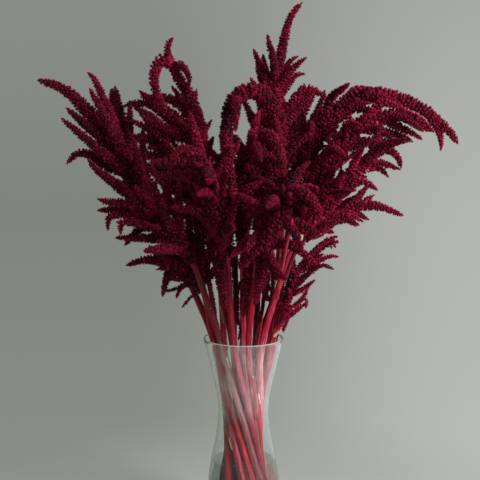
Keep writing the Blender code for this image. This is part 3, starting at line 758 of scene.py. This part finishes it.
skins = {  # dark streak, body, pale streak, and the paler tint painted on the part inside the glass as a reflection veil
    "raspberry": ("#3c0616", "#90102e", "#c42c4e", "#c0506c"),
    "pink": ("#8c0c2e", "#bc1640", "#e85a7c", "#f09aaa"),
    "wine": ("#16040a", "#3a0a18", "#643040", "#6e6262"),
    "russet": ("#3a1014", "#781e2a", "#ac4e58", "#c48890"),
    "ruby": ("#4c0210", "#a80a24", "#d82642", "#b42c4c"),
    "cream": ("#a89070", "#dccfb0", "#f4ecd8", "#f0e8c8"),
    "olive": ("#3a3a22", "#7c7850", "#b4ac84", "#a8a47c"),
}

skinSettings = {
    "fineStreaks": 6.0,     # grain runs once round in 2 pi, so this scale gives streaks about 1.5 mm wide
    "broadPatches": 1.3,
    "veilFrom": (262.0, 225.0),  # the painted reflection veil comes in at the rim between these heights
    "veilTo": (130.0, 170.0),    # and grows weak below the waist between these
    "veilMost": 0.78,
    "veilLeast": 0.2,
    "veiledStreaks": "#f2d2d2",  # the palest streaks of the painted veil, painted highlights along the stems
    "healed": "#b9a884",  # the middle of a leaf scar
}


def buildTrimmings(skin, section):
    # every trimming of one skin, joined
    tubes = []
    for first, last, points in trimmings[skin]:
        path, along = stations(smooth(points, 8), stemSettings["step"])
        radii = np.linspace(first, last, len(path))
        tubes.append(drawTube("trimming_" + skin, path, along, radii, section)[0])
    deselectAll()
    for tube in tubes:
        tube.select_set(True)
    bpy.context.view_layer.objects.active = tubes[0]
    bpy.ops.object.join()
    return bpy.context.object


def stemMaterial(skin):
    # fresh amaranth stem: waxy ribbed skin, low even gloss, fine streaks along its length and paler scars
    dark, body, pale, veilTint = skins[skin]
    material, tree, shader = newMaterial(
        f"waxy {skin} stem skin", Roughness=0.45, Specular_IOR_Level=0.22, Subsurface_Weight=0.08,
        Subsurface_Radius=(0.004, 0.001, 0.001))
    grain = storedValue(tree, "grain", "Vector")
    fine = addNoise(tree, grain, skinSettings["fineStreaks"], Detail=3.0, Roughness=0.65)
    broad = addNoise(tree, grain, skinSettings["broadPatches"])
    streaks = addRamp(tree, fine, ((0.33, dark), (0.5, body), (0.68, pale)))
    aged = addMix(tree, addRange(tree, broad, 0.55, 0.72, 0.0, 0.45, "LINEAR"), streaks, linear(dark))
    # painted reflection veil: paler and pinker between the rim and the waist, with pale painted highlight
    # streaks, standing in for the glass's reflection over the stems
    height = axisOf(tree, objectPlace(tree), "Z")
    atRim = [z * mm for z in skinSettings["veilFrom"]]
    atWaist = [z * mm for z in skinSettings["veilTo"]]
    veilShare = addMath(tree, "MULTIPLY", addRange(tree, height, *atRim, 0.0, skinSettings["veilMost"]),
                    addRange(tree, height, *atWaist, skinSettings["veilLeast"]))
    palest = skinSettings["veiledStreaks"]
    veiledStreaks = addRamp(tree, fine, ((0.34, body), (0.47, veilTint), (0.58, veilTint), (0.7, palest)))
    paler = addMix(tree, veilShare, aged, veiledStreaks)
    healed = addRange(tree, storedValue(tree, "scar"), 0.75, 1.0, 0.0, 0.85, "LINEAR")
    whole = addMix(tree, healed, paler, linear(skinSettings["healed"]))
    finishSurface(tree, shader, whole, fine, 0.35, 0.0006)
    return material


clusterSettings = {
    "pitch": 5.3,         # between neighbouring clusters of florets, as long as the teeth along an edge
    "rowShare": 0.86,
    "around": 4,          # bracts round the middle one
    "middle": 3.7,
    "outer": 3.3,
    "width": 3.9,
    "foot": 0.3,          # how far from the middle the outer ones stand
    "lean": 46.0,
    "smallest": 0.34,     # scale on the thinnest spike, and how it grows with the spike's radius
    "perRadius": 0.095,
    "largest": 1.05,
    "tiltRoot": 62.0,     # away from the spike's own direction
    "tiltTip": 30.0,
    "jitter": 9.0,
    "uneven": 0.45,       # how far a cluster strays round the spike, as a share of its place there
    "swing": 0.14,        # how far its direction strays round the spike
    "slip": 0.75,         # how far it strays along the spike
    "back": 1.2,          # how far it sits back from its row
    "sizes": (0.8, 1.2),
    "lump": 0.25,
    "lumpWaves": (0.55, 0.23),  # swellings and hollows, a few clusters wide: radians for each millimetre
    "deepest": 0.25,      # share of the radius under which no cluster has its foot
    "proud": 0.9,         # how far the bracts stand out of the solid
    "buried": 2.4,        # clusters deeper than this inside another spike are left off
    "point": 1.8,         # length of the point in which a spike ends, over its radius there
    "pointStep": 2.2,     # between the rows on it
    "pointThins": 0.8,
    "youngFrom": 0.78,    # share along a spike from which it glows like a young tip
    "tones": 0.11,        # how far the tone strays from cluster to cluster
    "paler": 0.30,        # painted shade: the tone rises this much towards the points of the bracts, so their feet, where the shade between them falls, are darker
    # share of a bract's height below which the painted shade darkens it
    "shadedBelow": 0.6,
}


def modelCluster(seed):
    # one cluster of florets, its foot at the origin: a tall bract with shorter ones leaning out round it
    rng = random.Random(seed)
    around, stand = clusterSettings["around"], clusterSettings["foot"]
    deselectAll()
    parts = []
    for k in range(around + 1):
        inner = k == 0
        height = clusterSettings["middle"] if inner else clusterSettings["outer"] * rng.uniform(0.85, 1.15)
        width = clusterSettings["width"] * rng.uniform(0.9, 1.1)
        bpy.ops.mesh.primitive_cone_add(vertices=3, radius1=width / 2, radius2=0, depth=height,
                                        end_fill_type="NGON", location=(0, 0, height / 2))
        bract = bpy.context.object
        bpy.ops.object.transform_apply(location=True, rotation=True, scale=True)
        turn = math.radians(rng.uniform(0, 120))
        if inner:
            bract.rotation_euler = (0, 0, turn)
        else:
            lean = math.radians(clusterSettings["lean"] + rng.uniform(-8, 8))
            heading = 2 * math.pi * (k + rng.uniform(-0.2, 0.2)) / around
            bract.location = (stand * math.cos(heading), stand * math.sin(heading), 0)
            bract.rotation_euler = (0, lean, heading)
        parts.append(bract)
    for bract in parts:
        bract.select_set(True)
    bpy.ops.object.transform_apply(location=True, rotation=True, scale=True)
    bpy.ops.object.join()
    cluster = bpy.context.object
    cluster.data.calc_loop_triangles()
    points = np.array([v.co for v in cluster.data.vertices])
    faces = np.array([t.vertices for t in cluster.data.loop_triangles])
    bpy.data.objects.remove(cluster)
    for mesh in [mesh for mesh in bpy.data.meshes if not mesh.users]:
        bpy.data.meshes.remove(mesh)
    return points, faces


def clusterScale(radius, size):
    # clusters are smaller on thin spikes and towards the tips
    grown = clusterSettings["smallest"] + clusterSettings["perRadius"] * radius
    return size * min(clusterSettings["largest"], grown)


def coverSpike(curve, radiusAt, rng, tone, size, start, tipGlow):
    # staggered rows of clusters round a curve; one array row for each: foot, direction, scale, tone, tip
    total = lengths(curve)[-1]
    places = [0.0]
    while places[-1] < total:
        scale = clusterScale(radiusAt(places[-1] / total), size)
        places.append(places[-1] + clusterSettings["pitch"] * clusterSettings["rowShare"] * scale)
    # the rows run on past the end, where the spike thins to a point
    beyond = radiusAt(1.0) * clusterSettings["point"]
    whole = np.vstack([curve, curve[-1] + unit(curve[-1] - curve[-2]) * beyond])
    end, tip = lengths(whole)[-2:]
    pointRows = 2 + max(2, round(beyond / clusterSettings["pointStep"]))
    places = np.array(places[:-1] + list(np.linspace(end, tip, pointRows)[1:]))
    path, along = pointsAt(whole, places)
    sides, across = carriedSides(along)
    shares = np.clip(places / total, 0, 1)
    thin = np.clip((places - total) / beyond, 0, 1)
    rootTilt, tipTilt = clusterSettings["tiltRoot"], clusterSettings["tiltTip"]
    longWave, shortWave = clusterSettings["lumpWaves"]
    rows = []
    phase = rng.uniform(0, 6.28)
    for row, share in enumerate(shares):
        if share < start:
            continue
        radius = radiusAt(share) * (1 - clusterSettings["pointThins"] * thin[row])
        scale = clusterScale(radius, size)
        count = max(3, round(2 * math.pi * radius / (clusterSettings["pitch"] * scale)))
        angles = phase + (np.arange(count) + 0.5 * (row % 2)) * 2 * math.pi / count
        angles = angles + rng.normal(0, clusterSettings["uneven"] / count, count)
        outward = np.cos(angles)[:, None] * sides[row] + np.sin(angles)[:, None] * across[row]
        tilt = rootTilt + (tipTilt - rootTilt) * share**2
        tilt = np.radians(tilt + rng.normal(0, clusterSettings["jitter"], count))[:, None]
        swing = rng.normal(0, clusterSettings["swing"], (count, 1)) * np.cross(along[row], outward)
        direction = np.cos(tilt) * along[row] + np.sin(tilt) * outward + swing
        direction /= np.linalg.norm(direction, axis=1)[:, None]
        lump = np.sin(places[row] * longWave + 2 * angles + phase) * np.sin(places[row] * shortWave - angles)
        scales = scale * (rng.uniform(*clusterSettings["sizes"], count) + clusterSettings["lump"] * lump)
        reach = clusterSettings["middle"] * scales * np.sin(tilt[:, 0])
        foot = np.maximum(clusterSettings["deepest"] * radius,
                          radius * rng.normal(1.04, 0.035, count) + clusterSettings["proud"] * scale - reach)
        slip = (rng.normal(0, clusterSettings["slip"], count) - clusterSettings["back"]) * scales
        place = path[row] + outward * foot[:, None] + along[row] * slip[:, None]
        young = np.clip((share - clusterSettings["youngFrom"]) / (1 - clusterSettings["youngFrom"]), 0, 1)
        tones = tone + rng.normal(0, clusterSettings["tones"], count)
        glow = np.full(count, tipGlow * young ** 1.5)
        rows.append(np.column_stack([place, direction, scales, tones, glow]))
    # the last one closes the tip
    scale = clusterScale(0.2 * radiusAt(1.0), size)
    rows.append(np.concatenate([path[-1] - along[-1] * scale * 1.2, along[-1], [scale, tone, tipGlow]])[None])
    return np.vstack(rows)


def innerTube(curve, radiusAt, step, sideCount):
    # the plain axis under the clusters, seen only between them; its nearly black colour is painted shade
    path, along = stations(curve, step)
    sides, across = carriedSides(along)
    angles = np.arange(sideCount) * 2 * math.pi / sideCount
    points = []
    for k, share in enumerate(np.linspace(0, 1, len(path))):
        outward = np.cos(angles)[:, None] * sides[k] + np.sin(angles)[:, None] * across[k]
        points.append(path[k] + outward * radiusAt(share))
    points = np.vstack([*points, path[:1], path[-1:] + along[-1:] * 1.5])
    faces = []
    for ring in range(len(path) - 1):
        for k in range(sideCount):
            a, b = ring * sideCount + k, ring * sideCount + (k + 1) % sideCount
            faces += [(a, b, b + sideCount), (a, b + sideCount, a + sideCount)]
    last, root = (len(path) - 1) * sideCount, len(path) * sideCount
    for k in range(sideCount):
        after = (k + 1) % sideCount
        faces += [(root, after, k), (last + k, last + after, root + 1)]
    return points, np.array(faces)


# Thin shoots that hang or stray from the heads: radius and points
strands = {
    "front_left": (
        (3.0, ((-47, -8, 343), (-43, -10, 314), (-38, -12, 286), (-33, -14, 268))),
        (2.2, ((-31, -16, 328), (-25, -18, 298), (-20, -20, 274), (-16, -20, 259))),
        (3.6, ((-64, 6, 411), (-61, 6, 387), (-64, 4, 364), (-69, 0, 346))),
        (3.2, ((-53, 4, 395), (-52, 2, 372), (-50, 0, 349))),
        (5.0, ((-9, -100, 446), (-14, -104, 424), (-21, -100, 402), (-26, -92, 381))),
        (5.0, ((-28, -50, 362), (-26, -56, 341), (-23, -58, 321), (-21, -56, 301))),
        (4.0, ((-47, 6, 348), (-45, 4, 325), (-41, 2, 304), (-37, 0, 283)))),
    "front_centre": (
        (3.4, ((-12, -22, 371), (-10, -26, 337), (-8, -28, 305), (-7, -28, 276))),
        (2.2, ((-4, -30, 328), (-10, -30, 297), (-4, -30, 269), (-6, -28, 255))),
        (3.2, ((23, -22, 345), (26, -24, 317), (24, -26, 294), (20, -26, 276))),
        (4.0, ((3, -40, 356), (2, -44, 333), (-1, -44, 310), (-2, -42, 292))),
        (3.4, ((-14, 6, 356), (-12, 2, 325), (-11, -2, 297), (-10, -4, 274)))),
    "front_right": (
        (2.8, ((36, -20, 368), (34, -22, 342), (30, -24, 319), (29, -24, 306))),
        (9.0, ((48, -118, 428), (36, -124, 410), (22, -122, 393), (7, -114, 377), (-1, -104, 364))),
        (6.0, ((55, -100, 446), (53, -104, 432), (52, -102, 414))),
        (6.5, ((23, -74, 376), (20, -80, 355), (18, -80, 334), (15, -76, 314))),
        (3.4, ((39, 2, 354), (38, -2, 326), (37, -6, 306), (35, -8, 285)))),
    "left_low": (
        (3.0, ((-50, 0, 341), (-66, -4, 328), (-82, -6, 317), (-99, -6, 312))),
        (2.6, ((-48, 0, 331), (-59, -4, 313), (-69, -4, 303), (-77, -4, 293)))),
    "right_spray": (
        (6.4, ((75, 0, 341), (88, -2, 357), (99, -4, 369), (110, -5, 378), (116, -8, 379), (116, -10, 374),
               (109, -10, 373))),
        (3.6, ((62, -14, 351), (57, -20, 329), (52, -22, 306), (48, -22, 288))),
        (2.6, ((51, -20, 264), (59, -22, 284), (68, -22, 298), (76, -23, 305), (81, -24, 303),
               (80, -24, 296))),
        (3.0, ((59, -18, 316), (68, -18, 334), (80, -18, 347), (92, -18, 352)))),
    "right_mid": (
        (4.2, ((100, 0, 458), (118, 0, 471), (135, -2, 485), (152, -2, 497))),
        (3.6, ((111, 4, 450), (131, 4, 462), (149, 4, 475), (164, 4, 491)))),
    "high_arch": (
        (3.4, ((97, 4, 529), (115, 4, 547), (135, 4, 555), (158, 4, 558))),),
    "loop_left": (
        (4.2, ((-120, 14, 469), (-109, 12, 454), (-97, 8, 436), (-89, 4, 419))),
        (3.8, ((-100, 10, 428), (-91, 6, 411), (-83, 2, 393)))),
    "centre_arch": (
        (8.0, ((-22, -66, 515), (-20, -84, 500), (-19, -100, 484), (-16, -112, 468), (-13, -118, 452))),),
}

headSettings = {
    # darker or paler than the others: partly their own colour, partly painted light, paler on the lit right
    # and darker on the left
    "toneAndSidelight": {"top_spire": -0.02, "far_left": -0.05, "left_low": -0.06, "left_mid": -0.05,
                 "front_left": -0.02, "centre_arch": -0.02, "front_centre": -0.03, "high_arch": 0.03,
                 "low_arch": 0.06, "right_mid": 0.07, "right_low": 0.07, "right_spray": 0.12},
    "coarser": {"back_left": 1.32, "back_right": 1.32},  # bigger clusters on the heads at the back
    "airy": {"right_spray": 0.74},  # a head whose florets are sparse looks thinner than its solid
    "strandPaler": {"centre_arch": 0.2},  # a shoot that stands out of the mass
    "axisTone": 0.42,       # tones run from 0, nearly black, to 1, pink
    "spikeTone": 0.45,
    "sprigTone": 0.47,
    "strandTone": 0.4,
    "toneSpread": 0.08,
    "tubeShade": 0.1,        # painted shade: the axis under the clusters is nearly black, standing in for the shade between them
    "forwardShade": 0.1,   # painted shade: spikes that point forward lie in the mass of the bunch, so their tone is lowered to the dark of the shade there
    # and they get less of the young tip colour, as painted shade
    "forwardShadeOnTip": 0.85,
    "sprigs": 34,           # short shoots that make up the thick part of one head of usual length and core
    "usualLength": 260,
    "usualCore": 15,
    "sprigRadius": 4.6,
    "sprigFrom": 0.48,      # share along a sprig where its clusters start, as its foot is hidden
    "sprigGlow": 0.35,
    "sprigLean": (36, 56),
    "sprigPlaces": (0.02, 0.74),  # first share along the axis, and how much of it they fill
    "leastSwollen": 0.8,    # none stand where the core is thinner than this over the spike
    "strandTaper": 0.4,
}


def sprigCurves(stalk, axis, rng):
    # short shoots all round the thick part of the axis, leaning outward and up
    curves = []
    wanted = round(headSettings["sprigs"] * lengths(axis)[-1] / headSettings["usualLength"]
                   * stalk["core"] / headSettings["usualCore"])
    first, filled = headSettings["sprigPlaces"]
    for k in range(wanted):
        share = first + filled * (k + rng.uniform(0.2, 0.8)) / wanted
        if swollenPart(stalk, share) < headSettings["leastSwollen"]:
            continue
        start, tangent = atShare(axis, share)
        outward = outwardFrom(tangent, goldenAngle * k + rng.uniform(-0.4, 0.4))
        lean = math.radians(rng.uniform(*headSettings["sprigLean"]))
        heading = math.cos(lean) * tangent + math.sin(lean) * outward
        reach = (coreRadius(stalk, share) * rng.uniform(1.0, 1.3) + 2) / math.sin(lean)
        middle = start + heading * reach * 0.55
        bend = unit(heading + tangent * 0.25 + rng.normal(0, 0.12, 3))
        curves.append(smooth([start, middle, middle + bend * reach * 0.45], 6))
    return curves


def outsideOf(beds, owners, tubesOf):
    # which clusters stand outside the other spikes of their head, where they can be seen
    seen = np.ones(len(beds), bool)
    for index, balls in enumerate(tubesOf):
        low, high = balls[:, :3].min(0) - 20, balls[:, :3].max(0) + 20
        near = (owners != index) & (beds[:, :3] > low).all(1) & (beds[:, :3] < high).all(1)
        apart = np.linalg.norm(beds[near, None, :3] - balls[None, :, :3], axis=2) - balls[None, :, 3]
        inside = (apart < -clusterSettings["buried"]).any(1)
        seen[np.flatnonzero(near)[inside]] = False
    return seen


def scatterClusters(beds, clusters, rng):
    # every row becomes one of the modelled clusters, turned to its direction: points, faces, tones, tips
    place, direction, scale, tone, tip = beds[:, :3], beds[:, 3:6], beds[:, 6], beds[:, 7], beds[:, 8]
    other = np.where(np.abs(direction[:, 2:]) < 0.9, (0, 0, 1.0), (1.0, 0, 0))
    u = np.cross(direction, other)
    u /= np.linalg.norm(u, axis=1)[:, None]
    v = np.cross(direction, u)
    roll = rng.uniform(0, 6.28, len(beds))[:, None]
    u, v = np.cos(roll) * u + np.sin(roll) * v, np.cos(roll) * v - np.sin(roll) * u
    kind = rng.integers(0, len(clusters), len(beds))
    shells = []
    for index, (points, faces) in enumerate(clusters):
        these = kind == index
        turned = (points[None, :, :1] * u[these, None] + points[None, :, 1:2] * v[these, None]
                  + points[None, :, 2:] * direction[these, None])
        corners = place[these, None] + turned * scale[these, None, None]
        allFaces = faces[None] + np.arange(len(corners))[:, None, None] * len(points)
        # painted shade: each bract darker at its foot, paler towards its point
        height = np.clip(np.linalg.norm(points, axis=1) / clusterSettings["middle"], 0, 1)
        tones = tone[these, None] + clusterSettings["paler"] * (height[None] - clusterSettings["shadedBelow"])
        shells.append((corners.reshape(-1, 3), allFaces.reshape(-1, 3), tones.ravel(),
                       np.repeat(tip[these], len(points))))
    return shells


def joinShells(name, shells):
    # one mesh of triangles, with the tone and tip of every point
    bases = np.cumsum([0] + [len(shell[0]) for shell in shells])
    points = np.vstack([shell[0] for shell in shells]) * mm
    faces = np.vstack([shell[1] + base for shell, base in zip(shells, bases)])
    mesh = bpy.data.meshes.new(name)
    mesh.vertices.add(len(points))
    mesh.vertices.foreach_set("co", points.ravel())
    mesh.loops.add(faces.size)
    mesh.loops.foreach_set("vertex_index", faces.ravel())
    mesh.polygons.add(len(faces))
    mesh.polygons.foreach_set("loop_start", np.arange(len(faces)) * 3)
    mesh.polygons.foreach_set("loop_total", np.full(len(faces), 3))
    for key, column in (("tone", 2), ("tip", 3)):
        attribute = mesh.attributes.new(key, "FLOAT", "POINT")
        attribute.data.foreach_set("value", np.concatenate([shell[column] for shell in shells]))
    mesh.update(calc_edges=True)
    mesh.shade_smooth()  # each bract reads as a rounded bud
    return addObject(name, mesh)


def buildHead(name, stalk, axis, spikes, clusters):
    # the axis, the side spikes, the sprigs and the hanging shoots of one head, covered in clusters
    rng = np.random.default_rng(1000 + stalk["seed"])
    size = headSettings["coarser"].get(name, 1.0)
    thin = headSettings["airy"].get(name, 1.0)
    tubes, beds, balls = [], [], []

    def grow(curve, radiusAt, tubeAt, ballAt, step, sides, tone, start=0.0, glow=1.0):
        tubes.append(innerTube(curve, tubeAt, step, sides))
        beds.append(coverSpike(curve, radiusAt, rng, tone, size, start, glow))
        balls.append(ballsAlong(curve, ballAt))

    def axisAt(whole, less):
        return lambda s: whole * (thin * coreRadius(stalk, s)) - less * swollenPart(stalk, s)

    grow(axis, axisAt(1, 0.2), axisAt(0.8, 0.25), axisAt(1, 0.35), 9, 7, headSettings["axisTone"])
    for curve in spikes:
        radius = thin * sideRadius(curve)
        spikeAt = lambda s: spikeRadius(radius, s)
        # painted shade on spikes that point forward into the mass
        forward = max(0.0, -unit(curve[-1] - curve[-4])[1])
        tone = (headSettings["spikeTone"] - headSettings["forwardShade"] * forward
                + rng.normal(0, headSettings["toneSpread"]))
        glow = 1 - headSettings["forwardShadeOnTip"] * forward
        grow(curve, spikeAt, lambda s: 0.72 * spikeAt(s), spikeAt, 10, 7, tone, glow=glow)
    for curve in sprigCurves(stalk, axis, rng):
        radius = headSettings["sprigRadius"] * rng.uniform(0.85, 1.2)
        spikeAt = lambda s: spikeRadius(radius, s)
        tone = headSettings["sprigTone"] + rng.normal(0, headSettings["toneSpread"])
        start, glow = headSettings["sprigFrom"], headSettings["sprigGlow"]
        grow(curve, spikeAt, lambda s: 0.68 * spikeAt(s), spikeAt, 12, 5, tone, start, glow)
    for radius, points in strands.get(name, ()):
        paler = headSettings["strandPaler"].get(name, 0.0)
        tone, glow = headSettings["strandTone"] + paler + rng.normal(0, 0.05), 0.3 + 3 * paler
        strandAt = lambda s: radius * (1 - headSettings["strandTaper"] * s)
        grow(smooth(points, 6), strandAt, lambda s: 0.5 * strandAt(s), lambda s: 0.5 * radius, 10, 5, tone,
             glow=glow)
    owners = np.concatenate([np.full(len(bed), index) for index, bed in enumerate(beds)])
    beds = np.vstack(beds)
    # per head, partly own colour and partly painted light from the right
    beds[:, 7] += headSettings["toneAndSidelight"].get(name, 0.0)
    shells = scatterClusters(beds[outsideOf(beds, owners, balls)], clusters, rng)
    # the axes carry the painted shade tone
    shells += [(points, faces, np.full(len(points), headSettings["tubeShade"]), np.zeros(len(points)))
               for points, faces in tubes]
    return joinShells("amaranth_" + name, shells)


floretSettings = {
    "speckle": 1.6,  # from bract to bract the colour changes about every 1.6 mm
    "cloud": 45.0,   # and in larger patches
    # colours from the lowest tone to the highest, of ripe florets and of those at the tips
    "body": ((0.0, "#1e000a"), (0.28, "#4a031b"), (0.52, "#80072e"), (0.74, "#a80e3e"), (0.9, "#c42a5a"),
             (1.0, "#e0708e")),
    "young": ((0.1, "#5a0418"), (0.6, "#980a2c"), (1.0, "#c42446")),
    "sheen": "#e07090",
}


def floretMaterial():
    # amaranth florets: papery bracts packed tight, dull, with a pink bloom where light grazes them
    material, tree, shader = newMaterial(
        "papery amaranth florets", Roughness=0.7, Specular_IOR_Level=0.16, Sheen_Weight=0.06,
        Sheen_Roughness=0.45, Sheen_Tint=linear(floretSettings["sheen"]))
    place = objectPlace(tree)
    speckle = addNoise(tree, place, 1 / (floretSettings["speckle"] * mm), Detail=2.0)
    cloud = addNoise(tree, place, 1 / (floretSettings["cloud"] * mm), Detail=1.0)
    grainy = addMath(tree, "MULTIPLY_ADD", speckle, 0.5, storedValue(tree, "tone"))
    level = addMath(tree, "SUBTRACT", addMath(tree, "MULTIPLY_ADD", cloud, 0.5, grainy), 0.5)
    body, young = (addRamp(tree, level, floretSettings[age]) for age in ("body", "young"))
    colour = addMix(tree, storedValue(tree, "tip"), body, young)
    finishSurface(tree, shader, colour, speckle, 0.5, 0.0006)
    return material


plan = layOut()
print("stalks laid out:", sum(len(p["spikes"]) for p in plan.values()), "side spikes")

finishPiece(turnedSolid("vaseGlass", vaseProfile()), glassMaterial(), "glass", "vase")
finishPiece(turnedSolid("vaseWater", waterProfile()), waterMaterial(), "water", "water")
print("vase and water turned")

section = ribbedProfile()
stemSkins = {skin: stemMaterial(skin) for skin in skins}
for name, stalk in stalks.items():
    rng = np.random.default_rng(stalk["seed"])
    stem = buildStem(name, plan[name]["stem"], stalk["stem"], section, rng)
    finishPiece(stem, stemSkins[stalk["skin"]], "stem", "stem_" + name)
for skin in trimmings:
    finishPiece(buildTrimmings(skin, section), stemSkins[skin], "stem")
bpy.data.objects.remove(section)
print("stems drawn")

clusters = [modelCluster(seed) for seed in (1, 2, 3)]
bracts = floretMaterial()
triangles = 0
for name, stalk in stalks.items():
    head = buildHead(name, stalk, plan[name]["axis"], plan[name]["spikes"], clusters)
    finishPiece(head, bracts, "seed_head", "head_" + name)
    triangles += len(head.data.polygons)
print("heads covered in florets:", triangles, "triangles")


studioSettings = {  # lengths here are metres
    "floorRadius": 0.55,
    "fadeFrom": 0.10,
    "floorColour": "#cacdc8",
    # wall tones at the left and right, from low to high
    "wallLeft": ((0.30, "#8e9189"), (0.44, "#7f847d"), (0.55, "#8e908b")),
    "wallRight": ((0.30, "#bbc0bc"), (0.44, "#b2b5b0"), (0.55, "#a3a5a0")),
    "wallSpread": (-0.09, 0.19),  # where the left tone ends and the right one starts
    "keyLight": {"place": (1.25, -1.1, 1.1), "size": 0.9, "power": 27.0},
    "backLight": {"place": (-1.3, 1.5, 1.3), "size": 1.6, "power": 3.5},  # so that the back isn't left dark
    "target": (0.0, 0.0, 0.42),
    "cameraPlace": (-0.0045, -1.6, 0.61),
    "lookDown": 8.26,
    "lens": 94.3,
    "sensor": 36,
}


def buildFloor():
    # painted board: matt and pale, fading into the wall behind it
    deselectAll()
    bpy.ops.mesh.primitive_circle_add(vertices=96, radius=studioSettings["floorRadius"], fill_type="NGON")
    floor = bpy.context.object
    floor.name = "studioFloor"
    colour = linear(studioSettings["floorColour"])
    material, tree, shader = newMaterial("matt painted floor", Roughness=0.9, Base_Color=colour)
    distance = addNode(tree, "ShaderNodeVectorMath", {"operation": "LENGTH"}, {0: objectPlace(tree)})
    fadeFrom, fadeTo = studioSettings["fadeFrom"], studioSettings["floorRadius"]
    fade = addRange(tree, distance.outputs["Value"], fadeFrom, fadeTo, 1.0, 0.0)
    tree.links.new(fade, shader.inputs["Alpha"])
    floor.data.materials.append(material)


def buildWorld():
    # a plain wall all round, darker to the left and lighter to the right
    world = bpy.data.worlds.new("studioWall")
    world.use_nodes = True
    tree = world.node_tree
    view = addNode(tree, "ShaderNodeTexCoord").outputs["Generated"]
    spread = addRange(tree, axisOf(tree, view, "X"), *studioSettings["wallSpread"])
    height = addRange(tree, axisOf(tree, view, "Z"), -1.0, 1.0, kind="LINEAR")
    left, right = (addRamp(tree, height, studioSettings[side]) for side in ("wallLeft", "wallRight"))
    tree.links.new(addMix(tree, spread, left, right), tree.nodes["Background"].inputs["Color"])
    tree.nodes["Background"].inputs["Strength"].default_value = 1.0
    bpy.context.scene.world = world


def buildLight(name):
    # a square area light that shines on the middle of the bunch
    settings = studioSettings[name]
    light = bpy.data.lights.new(name, "AREA")
    light.shape = "SQUARE"
    light.size = settings["size"]
    light.energy = settings["power"]
    lamp = addObject(name, light)
    lamp.location = settings["place"]
    aim = Vector(studioSettings["target"]) - Vector(settings["place"])
    lamp.rotation_euler = aim.to_track_quat("-Z", "Y").to_euler()


buildFloor()
buildWorld()
buildLight("keyLight")
buildLight("backLight")

lens = bpy.data.cameras.new("camera")
lens.lens = studioSettings["lens"]
lens.sensor_width = studioSettings["sensor"]
camera = addObject("camera", lens)
camera.location = studioSettings["cameraPlace"]
camera.rotation_euler = (math.radians(90 - studioSettings["lookDown"]), 0, 0)
bpy.context.scene.camera = camera
bpy.context.scene.view_settings.view_transform = "Standard"
print("studio set")
